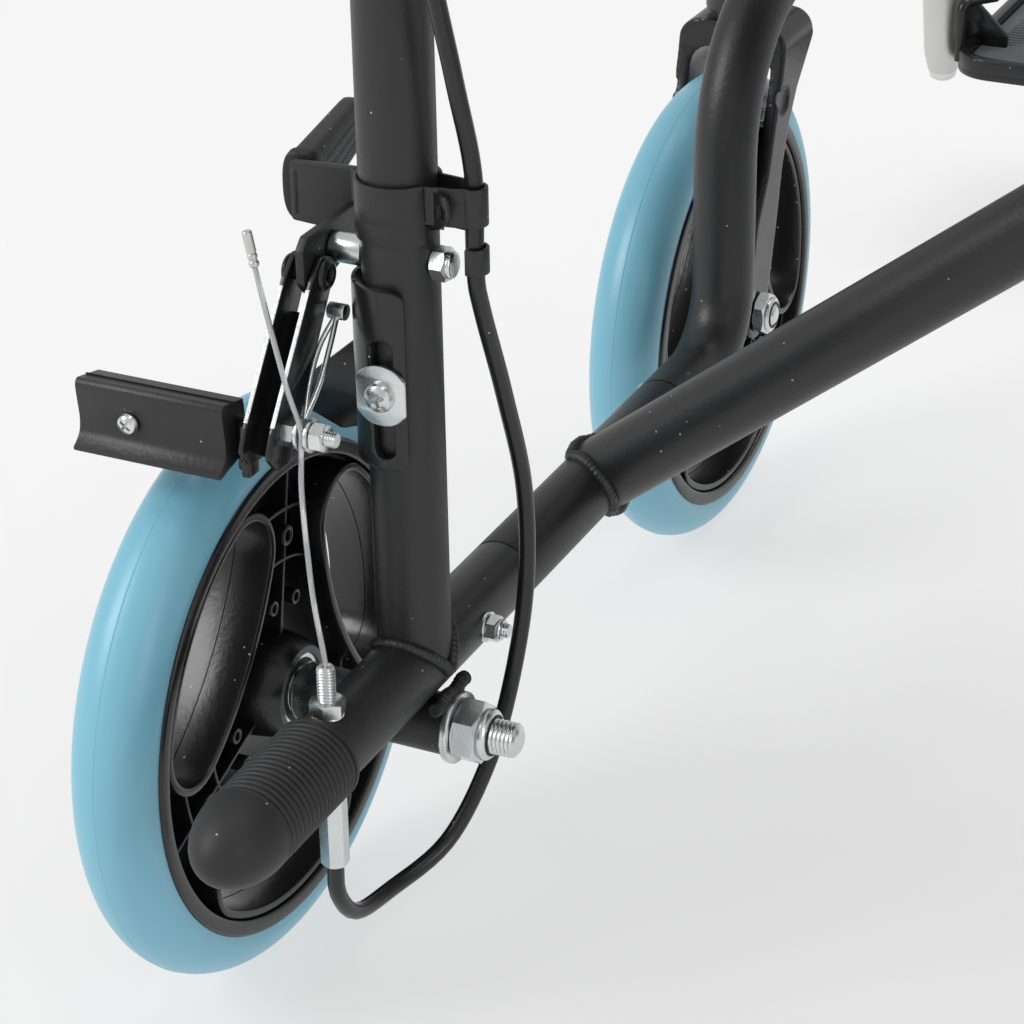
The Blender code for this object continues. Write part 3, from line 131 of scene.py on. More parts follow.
def add_lamp(name, place, target, size, power):
    light = bpy.data.lights.new(name, "AREA")
    light.shape = "RECTANGLE"
    light.size, light.size_y = size
    light.energy = power
    lamp = bpy.data.objects.new(name, light)
    lamp.location = place
    lamp.rotation_euler = (Vector(target) - Vector(place)).to_track_quat("-Z", "Y").to_euler()
    bpy.context.scene.collection.objects.link(lamp)


make_floor()
make_world(0.62)
add_lamp("key_lamp", (2.1, 1.9, 1.9), (0.2, 0.1, 0.3), (1.2, 1.6), 46)
add_lamp("top_lamp", (-0.4, -0.4, 3.0), (0.1, 0.1, 0.2), (1.8, 1.8), 36)
add_lamp("right_strip", (-2.4, 1.4, 1.2), (0.1, 0.2, 0.3), (0.5, 1.8), 9)
bpy.context.scene.view_settings.view_transform = "Standard"

# %% [markdown]
# ## Effects that several finishes share
# Powder coat, moulded plastic and rubber all have a fine skin, an uneven gloss and
# some pale dust, only at other scales. Each effect is a node group with named
# inputs, built once. Cloth needs a weave that follows two directions.

# %% Node groups
def shader_group(title, inputs, outputs):
    """An empty shader node group with float and vector sockets."""
    tree = bpy.data.node_groups.new(title, "ShaderNodeTree")
    for label, value in inputs:
        kind = "NodeSocketVector" if value is None else "NodeSocketFloat"
        socket = tree.interface.new_socket(name=label, in_out="INPUT", socket_type=kind)
        if value is not None:
            socket.default_value = value
    for label in outputs:
        tree.interface.new_socket(name=label, in_out="OUTPUT", socket_type="NodeSocketFloat")
    return tree, tree.nodes.new("NodeGroupInput"), tree.nodes.new("NodeGroupOutput")


def math_node(tree, operation, first, second=None):
    """A math node fed by sockets or numbers; returns its result."""
    node = tree.nodes.new("ShaderNodeMath")
    node.operation = operation
    for socket, source in zip(node.inputs, (first, second)):
        if isinstance(source, (int, float)):
            socket.default_value = source
        elif source is not None:
            tree.links.new(source, socket)
    return node.outputs[0]


def noise_node(tree, vector, scale, detail):
    node = tree.nodes.new("ShaderNodeTexNoise")
    node.inputs["Detail"].default_value = detail
    tree.links.new(vector, node.inputs["Vector"])
    if isinstance(scale, (int, float)):
        node.inputs["Scale"].default_value = scale
    else:
        tree.links.new(scale, node.inputs["Scale"])
    return node.outputs["Fac"]


def make_skin():
    """Fine bumps of two sizes, as on powder coat and moulded surfaces."""
    tree, start, end = shader_group("skin", [("Vector", None), ("Scale", 900.0)], ["Height"])
    coarse = noise_node(tree, start.outputs["Vector"], start.outputs["Scale"], 2)
    fine_scale = math_node(tree, "MULTIPLY", start.outputs["Scale"], 3.7)
    fine = noise_node(tree, start.outputs["Vector"], fine_scale, 1)
    fine_share = math_node(tree, "MULTIPLY", fine, 0.35)
    tree.links.new(math_node(tree, "ADD", coarse, fine_share), end.inputs["Height"])
    return tree


def make_gloss():
    """A slow change of roughness between two values."""
    inputs = [("Vector", None), ("Scale", 30.0), ("Low", 0.3), ("High", 0.5)]
    tree, start, end = shader_group("uneven_gloss", inputs, ["Roughness"])
    cloud = noise_node(tree, start.outputs["Vector"], start.outputs["Scale"], 4)
    span = math_node(tree, "SUBTRACT", start.outputs["High"], start.outputs["Low"])
    share = math_node(tree, "MULTIPLY", cloud, span)
    tree.links.new(math_node(tree, "ADD", share, start.outputs["Low"]), end.inputs["Roughness"])
    return tree


def make_dust():
    """Sparse pale specks; the amount is the share of cells that hold one."""
    inputs = [("Vector", None), ("Scale", 420.0), ("Amount", 0.05)]
    tree, start, end = shader_group("dust", inputs, ["Mask"])
    cells = tree.nodes.new("ShaderNodeTexVoronoi")
    tree.links.new(start.outputs["Vector"], cells.inputs["Vector"])
    tree.links.new(start.outputs["Scale"], cells.inputs["Scale"])
    near = math_node(tree, "LESS_THAN", cells.outputs["Distance"], 0.16)
    split = tree.nodes.new("ShaderNodeSeparateColor")
    tree.links.new(cells.outputs["Color"], split.inputs["Color"])
    chosen = math_node(tree, "LESS_THAN", split.outputs["Red"], start.outputs["Amount"])
    tree.links.new(math_node(tree, "MULTIPLY", near, chosen), end.inputs["Mask"])
    return tree


def make_weave():
    """Threads that pass over and under each other in two directions."""
    tree, start, end = shader_group("weave", [("Vector", None), ("Threads", 900.0)], ["Height"])
    split = tree.nodes.new("ShaderNodeSeparateXYZ")
    tree.links.new(start.outputs["Vector"], split.inputs["Vector"])
    waves = []
    for axis in ("X", "Y"):
        turns = math_node(tree, "MULTIPLY", split.outputs[axis], start.outputs["Threads"])
        waves.append(math_node(tree, "SINE", math_node(tree, "MULTIPLY", turns, 2 * math.pi)))
    both = math_node(tree, "MULTIPLY", waves[0], waves[1])
    tree.links.new(both, end.inputs["Height"])
    return tree


SKIN = make_skin()
GLOSS = make_gloss()
DUST = make_dust()
WEAVE = make_weave()
print("shared effects:", len(bpy.data.node_groups))

# %% [markdown]
# ## The finishes
# The frame is black powder coat with a fine orange peel. The wheels' hubs are
# black moulded plastic with a harder shine, the tyres light blue and glossy. Bolts
# are zinc with a faint blue, the footrest tubes satin aluminium. Every finish is a
# Principled shader whose colour, gloss and bump come from the groups above.

# %% Finishes
DUST_SCALE = 420.0
DUST_COLOUR = (0.30, 0.30, 0.30)


def placed_group(tree, group, vector, values):
    node = tree.nodes.new("ShaderNodeGroup")
    node.node_tree = group
    tree.links.new(vector, node.inputs["Vector"])
    for label, value in values.items():
        node.inputs[label].default_value = value
    return node.outputs[0]


def set_colour(tree, socket, source):
    """A colour input, fed by another node or by plain red, green and blue."""
    if isinstance(source, bpy.types.NodeSocket):
        tree.links.new(source, socket)
    else:
        socket.default_value = (*source, 1)


def blended(tree, mask, first, second):
    """First where the mask is 0, second where it is 1."""
    mix = tree.nodes.new("ShaderNodeMix")
    mix.data_type = "RGBA"
    tree.links.new(mask, mix.inputs["Factor"])
    set_colour(tree, mix.inputs["A"], first)
    set_colour(tree, mix.inputs["B"], second)
    return mix.outputs["Result"]


def finish(name, colour, gloss, skin=None, dust=0.0, metallic=0.0, tint=None, weave=None):
    """A material: gloss is (scale, low, high), skin (scale, distance), tint (scale, colour)."""
    made = bpy.data.materials.new(name)
    made.use_nodes = True
    tree = made.node_tree
    shader = tree.nodes["Principled BSDF"]
    shader.inputs["Metallic"].default_value = metallic
    vector = tree.nodes.new("ShaderNodeTexCoord").outputs["Object"]
    scale, low, high = gloss
    rough = placed_group(tree, GLOSS, vector, {"Scale": scale, "Low": low, "High": high})
    tree.links.new(rough, shader.inputs["Roughness"])
    base = colour
    if tint:
        cloud = placed_group(tree, GLOSS, vector, {"Scale": tint[0], "Low": -0.2, "High": 1.2})
        base = blended(tree, cloud, base, tint[1])
    if dust:
        specks = placed_group(tree, DUST, vector, {"Scale": DUST_SCALE, "Amount": dust})
        base = blended(tree, specks, base, DUST_COLOUR)
    set_colour(tree, shader.inputs["Base Color"], base)
    bump = tree.nodes.new("ShaderNodeBump")
    tree.links.new(bump.outputs["Normal"], shader.inputs["Normal"])
    if weave:
        threads, turn, distance = weave
        mapping = tree.nodes.new("ShaderNodeMapping")
        mapping.inputs["Rotation"].default_value = (math.radians(turn), 0, 0)
        tree.links.new(vector, mapping.inputs["Vector"])
        height = placed_group(tree, WEAVE, mapping.outputs["Vector"], {"Threads": threads})
    else:
        size, distance = skin
        height = placed_group(tree, SKIN, vector, {"Scale": size})
    bump.inputs["Distance"].default_value = distance
    bump.inputs["Strength"].default_value = 1.0
    tree.links.new(height, bump.inputs["Height"])
    return made


CLOTH_LOOK = {"colour": (0.016, 0.016, 0.018), "gloss": (60, 0.7, 0.9), "tint": (25, (0.022, 0.022, 0.024))}
LOOKS = {
    "powder_coat": {
        "colour": (0.0125, 0.0125, 0.0135), "gloss": (26, 0.36, 0.50), "skin": (620, 0.00012),
        "dust": 0.02, "tint": (14, (0.017, 0.017, 0.018)),
    },
    "blue_rubber": {
        "colour": (0.175, 0.440, 0.575), "gloss": (60, 0.26, 0.40), "skin": (1400, 0.00003),
        "tint": (9, (0.200, 0.475, 0.600)),
    },
    "wheel_plastic": {
        "colour": (0.008, 0.008, 0.009), "gloss": (40, 0.18, 0.34), "skin": (500, 0.00006), "dust": 0.05,
    },
    "bracket_enamel": {
        "colour": (0.010, 0.010, 0.011), "gloss": (60, 0.16, 0.34), "skin": (900, 0.00004), "dust": 0.05,
    },
    "soft_rubber": {
        "colour": (0.0125, 0.0125, 0.013), "gloss": (50, 0.48, 0.62), "skin": (1500, 0.00005), "dust": 0.04,
    },
    "zinc": {
        "colour": (0.60, 0.645, 0.655), "gloss": (160, 0.16, 0.36), "skin": (700, 0.00003),
        "metallic": 1.0, "tint": (120, (0.74, 0.76, 0.74)),
    },
    "wire_steel": {
        "colour": (0.55, 0.56, 0.56), "gloss": (300, 0.25, 0.45), "skin": (1800, 0.00006), "metallic": 1.0,
    },
    # painted highlight: bright glinting metal that stands for the light on an enamelled plate edge
    "painted_edge_highlight": {
        "colour": (0.42, 0.43, 0.45), "gloss": (900, 0.25, 0.55), "skin": (1500, 0.0003),
        "metallic": 1.0, "tint": (700, (0.9, 0.9, 0.9)),
    },
    "satin_alloy": {
        "colour": (0.60, 0.60, 0.57), "gloss": (40, 0.30, 0.42), "skin": (900, 0.00003), "metallic": 0.85,
    },
    "cable_sheath": {
        "colour": (0.009, 0.009, 0.010), "gloss": (30, 0.24, 0.34), "skin": (700, 0.00002), "dust": 0.02,
    },
    "seat_cloth": {**CLOTH_LOOK, "weave": (620, 0, 0.00016)},
    "back_cloth": {**CLOTH_LOOK, "weave": (620, 90, 0.00016)},
    "arm_vinyl": {
        "colour": (0.015, 0.015, 0.016), "gloss": (40, 0.38, 0.52), "skin": (520, 0.00018), "dust": 0.02,
    },
    "tread_grey": {
        "colour": (0.085, 0.088, 0.092), "gloss": (60, 0.6, 0.75), "skin": (900, 0.0001), "dust": 0.04,
    },
    "thread_black": {"colour": (0.03, 0.03, 0.032), "gloss": (200, 0.6, 0.8), "skin": (2500, 0.00005)},
}
FINISHES = {label: finish(label, **look) for label, look in LOOKS.items()}
print("finishes:", ", ".join(FINISHES))

# %% [markdown]
# ## Shapes that the whole chair is made of
# Most of this chair is bent tube, turned rod and cut sheet. A tube is a circle
# carried along a path without twisting. Round parts are a profile spun about an
# axis, and sheet parts are a flat curve with a small bevel, because no real edge is
# perfectly sharp. Everything is drawn for the left side, with y counted from the axle.

# %% Paths and tubes
ACROSS = Vector((1, 0, 0))
BACK = Vector((0, 1, 0))
UP = Vector((0, 0, 1))


def fresh_mesh(bm):
    """A mesh with its doubles merged and its faces pointing out."""
    bmesh.ops.remove_doubles(bm, verts=bm.verts, dist=4e-7)
    bmesh.ops.recalc_face_normals(bm, faces=bm.faces)
    mesh = bpy.data.meshes.new("shape")
    bm.to_mesh(mesh)
    bm.free()
    return mesh


def rounded_path(corners, radius, steps=12, closed=False):
    """The corners with an arc at each, or at all but the ends; arcs shrink to fit."""
    points = [Vector(corner) for corner in corners]
    count = len(points)
    path = []
    for i, corner in enumerate(points):
        if not closed and i in (0, count - 1):
            path.append(corner)
            continue
        back = points[i - 1] - corner
        on = points[(i + 1) % count] - corner
        room = min(back.length, on.length) * 0.499
        back.normalize()
        on.normalize()
        turn = math.pi - back.angle(on)
        if turn < 1e-3 or radius <= 0:
            path.append(corner)
            continue
        reach = min(radius * math.tan(turn / 2), room)
        size = reach / math.tan(turn / 2)
        centre = corner + (back + on).normalized() * (size / math.cos(turn / 2))
        first = corner + back * reach - centre
        last = corner + on * reach - centre
        for k in range(steps + 1):
            share = k / steps
            mix = first * math.sin((1 - share) * turn) + last * math.sin(share * turn)
            path.append(centre + mix / math.sin(turn))
    return path


def smooth_route(points, spacing):
    """Points about one spacing apart on a smooth curve through the route's points."""
    route = [Vector(point) for point in points]
    ends = [route[0] * 2 - route[1]] + route + [route[-1] * 2 - route[-2]]
    path = [route[0]]
    for i in range(1, len(ends) - 2):
        before, here, there, after = ends[i - 1 : i + 3]
        count = max(1, round((there - here).length / spacing))
        for k in range(1, count + 1):
            t = k / count
            bend = (2 * before - 5 * here + 4 * there - after) * t**2
            curl = (3 * here - before - 3 * there + after) * t**3
            path.append(0.5 * (2 * here + (there - before) * t + bend + curl))
    return path


def path_length(points):
    points = [Vector(point) for point in points]
    return sum((b - a).length for a, b in zip(points, points[1:]))


def path_frames(points):
    """At each point the tangent and two directions across it, carried along untwisted."""
    normal = None
    frames = []
    for i in range(len(points)):
        tangent = (points[min(i + 1, len(points) - 1)] - points[max(i - 1, 0)]).normalized()
        if normal is None:
            normal = tangent.orthogonal().normalized()
        normal = (normal - tangent * normal.dot(tangent)).normalized()
        frames.append((tangent, normal, tangent.cross(normal)))
    return frames


def lofted(sections, matrix=None):
    """A closed skin through sections with the same number of points, moved by the matrix."""
    bm = bmesh.new()
    rings = [[bm.verts.new(point) for point in section] for section in sections]
    for here, there in zip(rings, rings[1:]):
        count = len(here)
        for k in range(count):
            on = (k + 1) % count
            bm.faces.new((here[k], here[on], there[on], there[k]))
    bm.faces.new(rings[0])
    bm.faces.new(rings[-1])
    if matrix:
        bmesh.ops.transform(bm, matrix=matrix, verts=bm.verts)
    return fresh_mesh(bm)


def circle(centre, across, above, count):
    """Points about a centre; across and above are the circle's two half-axes."""
    angles = [2 * math.pi * k / count for k in range(count)]
    return [Vector(centre) + across * math.cos(a) + above * math.sin(a) for a in angles]


def sweep(path, radius, sides=40, radii=None):
    """A round bar along the path; radii gives each point its own radius."""
    points = [Vector(point) for point in path]
    sizes = radii or [radius] * len(points)
    frames = path_frames(points)
    rings = [circle(p, a * size, b * size, sides) for p, size, (_, a, b) in zip(points, sizes, frames)]
    return lofted(rings)


def bent_tube(corners, radius, bend=0.0, sides=48):
    """A straight or bent tube, with rings close enough together in its bends."""
    return sweep(rounded_path(corners, bend, 16), radius, sides)


# %% Turned parts
def onto_axis(start, end):
    """Turns +Z onto the line from start to end, and moves the origin to its start."""
    direction = (Vector(end) - Vector(start)).normalized()
    turn = Vector((0, 0, 1)).rotation_difference(direction).to_matrix().to_4x4()
    return Matrix.Translation(Vector(start)) @ turn


def along_x(y, z, *places):
    """Points on a line along X, such as the two ends of a bolt."""
    return [(x, y, z) for x in places]


def along_y(x, z, *places):
    return [(x, y, z) for y in places]


def along_z(x, y, *places):
    return [(x, y, z) for z in places]


def eased(profile, edge, closed=False):
    """A profile of (radius, height) points with its corners rounded."""
    flat = [(r, 0, h) for r, h in profile]
    return [(p.x, p.z) for p in rounded_path(flat, edge, 3, closed)]


def turned(profile, start, end, sides=48):
    """A profile of (radius, height) points spun about the axis from start to end."""
    bm = bmesh.new()
    verts = [bm.verts.new((r, 0, h)) for r, h in profile]
    edges = [bm.edges.new(pair) for pair in zip(verts, verts[1:])]
    if profile[0][0] > 1e-9 or profile[-1][0] > 1e-9:
        edges.append(bm.edges.new((verts[-1], verts[0])))
    bmesh.ops.spin(
        bm, geom=verts + edges, cent=(0, 0, 0), axis=(0, 0, 1), angle=2 * math.pi, steps=sides, use_merge=True
    )
    bmesh.ops.transform(bm, matrix=onto_axis(start, end), verts=bm.verts)
    return fresh_mesh(bm)


def rod(start, end, radius, edge=0.0004, sides=40):
    """A round bar with eased ends."""
    length = (Vector(end) - Vector(start)).length
    profile = eased([(0, 0), (radius, 0), (radius, length), (0, length)], edge)
    return turned(profile, start, end, sides)


def collar(start, end, inner, outer, edge=0.0003, sides=48):
    """A sleeve or washer with eased edges."""
    length = (Vector(end) - Vector(start)).length
    corners = [(inner, 0), (outer, 0), (outer, length), (inner, length)]
    return turned(eased(corners, edge, closed=True), start, end, sides)


# %% Nuts and threads
def hex_nut(start, end, flats, collar_height=0.0, turn=0.0):
    """A chamfered hexagon; a collar at its end makes it a locking nut."""
    length = (Vector(end) - Vector(start)).length
    crown = flats * 0.475
    slope = math.tan(math.radians(30))
    sides = 48
    rings = [[], [], [], []]
    for k in range(sides):
        angle = 2 * math.pi * k / sides
        fold = (angle + math.pi / 6) % (math.pi / 3) - math.pi / 6
        reach = flats / 2 / math.cos(fold)
        drop = max(0.0, (reach - crown) * slope)
        levels = ((crown, 0), (reach, drop), (reach, length - drop), (crown, length))
        for ring, (size, height) in zip(rings, levels):
            ring.append((size * math.cos(angle + turn), size * math.sin(angle + turn), height))
    made = [lofted(rings, onto_axis(start, end))]
    if collar_height:
        wide = crown * 0.97
        dome = [(0, 0), (wide, 0), (wide * 0.98, collar_height * 0.6), (wide * 0.86, collar_height)]
        dome.append((0, collar_height))
        tip = Vector(end) + (Vector(end) - Vector(start)).normalized() * collar_height
        made.append(turned(eased(dome, collar_height * 0.4), end, tip, 40))
    return made


def thread(start, end, radius, pitch, sides=24):
    """A threaded end: the radius rises and falls along a helix, and the tip is chamfered."""
    depth = pitch * 0.45
    length = (Vector(end) - Vector(start)).length
    rows = max(8, round(length / pitch * 6))
    rings = []
    for i in range(rows + 1):
        height = length * i / rows
        ring = []
        for k in range(sides):
            phase = (height / pitch - k / sides) % 1.0
            size = radius - depth * abs(2 * phase - 1)
            size = min(size, radius - depth + (length - height))
            angle = 2 * math.pi * k / sides
            ring.append((size * math.cos(angle), size * math.sin(angle), height))
        rings.append(ring)
    return lofted(rings, onto_axis(start, end))


# %% Sheet parts
def as_object(data):
    thing = bpy.data.objects.new("shape", data)
    bpy.context.scene.collection.objects.link(thing)
    return thing


def harvested(thing):
    """The finished mesh of an object with its modifiers; the object itself is removed."""
    bpy.context.view_layer.update()
    graph = bpy.context.evaluated_depsgraph_get()
    mesh = bpy.data.meshes.new_from_object(thing.evaluated_get(graph))
    bpy.data.objects.remove(thing, do_unlink=True)
    return mesh


def twice_area(outline):
    return sum(a[0] * b[1] - b[0] * a[1] for a, b in zip(outline, outline[1:] + outline[:1]))


def flat_plate(outline, holes, half, edge):
    """A plate in the XY plane from -half to half, with rounded edges round itself and its holes."""
    curve = bpy.data.curves.new("plate", "CURVE")
    curve.dimensions = "2D"
    curve.fill_mode = "BOTH"
    curve.extrude = half - edge
    curve.bevel_depth = edge
    curve.bevel_resolution = 1
    curve.offset = -edge
    for number, loop in enumerate([outline, *holes]):
        loop = [(p[0], p[1]) for p in loop]
        if (twice_area(loop) > 0) != (number == 0):
            loop.reverse()
        spline = curve.splines.new("POLY")
        spline.points.add(len(loop) - 1)
        for point, (x, y) in zip(spline.points, loop):
            point.co = (x, y, 0, 1)
        spline.use_cyclic_u = True
    return harvested(as_object(curve))


def plate(outline, normal, low, high, edge=0.0004, holes=()):
    """A flat part square to the x, y or z axis, drawn in the two other coordinates."""
    mesh = flat_plate(outline, holes, (high - low) / 2, edge)
    index = "xyz".index(normal)
    bm = bmesh.new()
    bm.from_mesh(mesh)
    for vert in bm.verts:
        place = [vert.co.x, vert.co.y]
        place.insert(index, vert.co.z + (low + high) / 2)
        vert.co = place
    return fresh_mesh(bm)


def rounded_outline(corners, radius, steps=6):
    flat = [(a, b, 0) for a, b in corners]
    return [(p.x, p.y) for p in rounded_path(flat, radius, steps, closed=True)]


def arc_points(centre, radius, start, end, steps):
    """Points on an arc, with its angles in degrees."""
    points = []
    for k in range(steps + 1):
        angle = math.radians(start + (end - start) * k / steps)
        points.append((centre[0] + radius * math.cos(angle), centre[1] + radius * math.sin(angle)))
    return points


def ribbon(path, wall, low, high):
    """A strip that stands on edge along a plan path of (x, y) points, from low to high."""
    points = [Vector((x, y, 0)) for x, y in path]
    left, right = [], []
    for point, (tangent, _, _) in zip(points, path_frames(points)):
        side = Vector((-tangent.y, tangent.x, 0)) * (wall / 2)
        left.append((point.x + side.x, point.y + side.y))
        right.append((point.x - side.x, point.y - side.y))
    return plate(left + right[::-1], "z", low, high, 0.0003)


def rectangle(low, high):
    """The corners of a rectangle from its lowest to its highest corner."""
    return [(low[0], low[1]), (high[0], low[1]), (high[0], high[1]), (low[0], high[1])]


def wrapped_plate(outline, holes, centre, radius, wall, edge=0.0004):
    """A flat plate of (arc length, z) points bent round an upright cylinder of that inner radius."""
    bm = bmesh.new()
    bm.from_mesh(flat_plate(outline, holes, wall / 2, edge))
    bmesh.ops.remove_doubles(bm, verts=bm.verts, dist=4e-7)
    low = min(vert.co.x for vert in bm.verts)
    high = max(vert.co.x for vert in bm.verts)
    cuts = round((high - low) / 0.0012)
    for k in range(1, cuts):
        bmesh.ops.bisect_plane(
            bm,
            geom=bm.verts[:] + bm.edges[:] + bm.faces[:],
            plane_co=(low + (high - low) * k / cuts, 0, 0),
            plane_no=(1, 0, 0),
        )
    for vert in bm.verts:
        angle = vert.co.x / radius
        size = radius + wall / 2 + vert.co.z
        vert.co = (centre[0] + size * math.cos(angle), centre[1] + size * math.sin(angle), vert.co.y)
    return fresh_mesh(bm)


def block(low, high, edge=0.0006):
    return plate(rounded_outline(rectangle(low, high), edge, 3), "z", low[2], high[2], edge)


# %% Cutting and softening
def combined(operation, base, *others):
    """The base joined to the others, cut by them, or kept only where they are."""
    thing = as_object(base)
    tools = [as_object(other) for other in others]
    for tool in tools:
        step = thing.modifiers.new("step", "BOOLEAN")
        step.operation = operation
        step.object = tool
    mesh = harvested(thing)
    for tool in tools:
        bpy.data.objects.remove(tool, do_unlink=True)
    return mesh


def softened(mesh, voxel, rounds):
    """A moulded look: the shape is remeshed finely and its edges are relaxed."""
    thing = as_object(mesh)
    remesh = thing.modifiers.new("remesh", "REMESH")
    remesh.mode = "VOXEL"
    remesh.voxel_size = voxel
    relax = thing.modifiers.new("relax", "SMOOTH")
    relax.factor = 0.5
    relax.iterations = rounds
    return harvested(thing)


def shaped(mesh, matrix):
    """A copy of the mesh, moved by a matrix."""
    copy = mesh.copy()
    copy.transform(matrix)
    return copy


def joined(meshes):
    bm = bmesh.new()
    for mesh in meshes:
        bm.from_mesh(mesh)
    made = bpy.data.meshes.new("joined")
    bm.to_mesh(made)
    bm.free()
    return made


def in_finish(label, *meshes):
    """The meshes as parts with one finish."""
    return [(mesh, label) for mesh in meshes]


# %% [markdown]
# ## Putting parts on the chair
# Each finished object gathers meshes, and each mesh brings its finish. The left
# side is drawn once; the right side is its mirror image, turned inside out again so
# that its faces point outwards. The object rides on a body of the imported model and
# stands for that model's plain nodes.

# %% Gathering parts into pieces
SIDES = ((1, "left"), (-1, "right"))
SHARP_ANGLE = math.radians(38)
counts = {}


def assemble(name, parts, body, nodes=(), side=1):
    """One object from (mesh, finish) parts, placed in the chair's frame."""
    bm = bmesh.new()
    used = []
    for mesh, label in parts:
        if label not in used:
            used.append(label)
        start = len(bm.faces)
        bm.from_mesh(mesh)
        bm.faces.ensure_lookup_table()
        for face in bm.faces[start:]:
            face.material_index = used.index(label)
            face.smooth = True
    place = Matrix.Translation((0, AXLE_Y, 0)) @ Matrix.Diagonal((side, 1, 1, 1))
    bmesh.ops.transform(bm, matrix=place, verts=bm.verts)
    if side < 0:
        bmesh.ops.reverse_faces(bm, faces=bm.faces)
    mesh = bpy.data.meshes.new(name)
    bm.to_mesh(mesh)
    counts[name] = sum(len(face.verts) - 2 for face in bm.faces)
    bm.free()
    for label in used:
        mesh.materials.append(FINISHES[label])
    mesh.set_sharp_from_angle(angle=SHARP_ANGLE)
    thing = bpy.data.objects.new(name, mesh)
    bpy.context.scene.collection.objects.link(thing)
    if body:
        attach(thing, body)
    if nodes:
        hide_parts(*nodes)
    return thing


def both_sides(name, parts, body, nodes=()):
    """The same piece on the left and mirrored on the right."""
    made = []
    for side, label in SIDES:
        on = [f"{node}_{label}" for node in nodes]
        made.append(assemble(f"{name}_{label}", parts, f"{body}_{label}", on, side))
    return made


# %% [markdown]
# ## Trees that repeat things
# Weld ripples, rings, stitches and ribs all repeat along a path or about an axis,
# so Geometry Nodes make them: the size of one and the distance to
# the next are named inputs. A small helper writes each tree node in one line.

# %% Geometry Nodes helpers
class Tree:
    """A Geometry Nodes tree that is written one node at a time."""

    def __init__(self, title, sizes):
        self.tree = bpy.data.node_groups.new(title, "GeometryNodeTree")
        face = self.tree.interface
        face.new_socket(name="Geometry", in_out="INPUT", socket_type="NodeSocketGeometry")
        for label, value in sizes:
            kind = "NodeSocketInt" if isinstance(value, int) else "NodeSocketFloat"
            face.new_socket(name=label, in_out="INPUT", socket_type=kind).default_value = value
        face.new_socket(name="Finish", in_out="INPUT", socket_type="NodeSocketMaterial")
        face.new_socket(name="Geometry", in_out="OUTPUT", socket_type="NodeSocketGeometry")
        self.start = self.tree.nodes.new("NodeGroupInput").outputs

    def add(self, kind, settings=None, **sources):
        """A node with its settings, its inputs fed by sockets or values; returns its outputs."""
        node = self.tree.nodes.new(kind)
        for label, value in (settings or {}).items():
            setattr(node, label, value)
        for label, source in sources.items():
            socket = node.inputs[label.replace("_", " ")]
            if isinstance(source, bpy.types.NodeSocket):
                self.tree.links.new(source, socket)
            else:
                socket.default_value = source
        return node.outputs

    def calc(self, operation, first, second=None):
        return math_node(self.tree, operation, first, second)

    def copies(self, points, thing, **turn):
        """The thing put on every point, turned by the given rotation."""
        return self.add("GeometryNodeInstanceOnPoints", Points=points, Instance=thing, **turn)[0]

    def finish(self, geometry):
        """Realize the instances, set the finish and hand the result out."""
        real = self.add("GeometryNodeRealizeInstances", Geometry=geometry)["Geometry"]
        done = self.add("GeometryNodeSetMaterial", Geometry=real, Material=self.start["Finish"])["Geometry"]
        self.tree.links.new(done, self.tree.nodes.new("NodeGroupOutput").inputs["Geometry"])
        return self.tree


def grown(tree, mesh, label, **sizes):
    """The mesh that a tree makes from a base mesh, with the given sizes and finish."""
    thing = as_object(mesh)
    step = thing.modifiers.new("grow", "NODES")
    step.node_group = tree
    values = {name.replace("_", " "): value for name, value in sizes.items()}
    values["Finish"] = FINISHES[label]
    for item in tree.interface.items_tree:
        if item.in_out == "INPUT" and item.name in values:
            step[item.identifier] = values[item.name]
    return harvested(thing), label


def line_mesh(points, closed=False):
    """A mesh of edges along the points, for a tree to follow."""
    mesh = bpy.data.meshes.new("line")
    edges = [(i, i + 1) for i in range(len(points) - 1)]
    if closed:
        edges.append((len(points) - 1, 0))
    mesh.from_pydata([tuple(point) for point in points], edges, [])
    return mesh


# %% Weld beads, rings and repeats about an axis
def weld_tree():
    """A bead along a path whose thickness ripples as the welder's weave does."""
    made = Tree("weld_bead", [("Bead", 0.002), ("Ripple", 0.12), ("Pitch", 0.0018)])
    start = made.start
    curve = made.add("GeometryNodeMeshToCurve", Mesh=start["Geometry"])[0]
    fine = made.add("GeometryNodeResampleCurve", {"mode": "LENGTH"}, Curve=curve, Length=0.0004)[0]
    along = made.add("GeometryNodeSplineParameter")["Length"]
    turns = made.calc("MULTIPLY", made.calc("DIVIDE", along, start["Pitch"]), math.pi)
    wave = made.calc("MULTIPLY", made.calc("ABSOLUTE", made.calc("SINE", turns)), start["Ripple"])
    lumps = made.add("ShaderNodeTexNoise", Scale=260.0, Detail=2.0)["Fac"]
    uneven = made.calc("MULTIPLY", made.calc("SUBTRACT", lumps, 0.5), 0.5)
    share = made.calc("ADD", made.calc("ADD", wave, uneven), 0.9)
    circle = made.add("GeometryNodeCurvePrimitiveCircle", Resolution=12, Radius=start["Bead"])["Curve"]
    bead = {"Curve": fine, "Profile Curve": circle, "Scale": share, "Fill Caps": True}
    return made.finish(made.add("GeometryNodeCurveToMesh", None, **bead)[0])


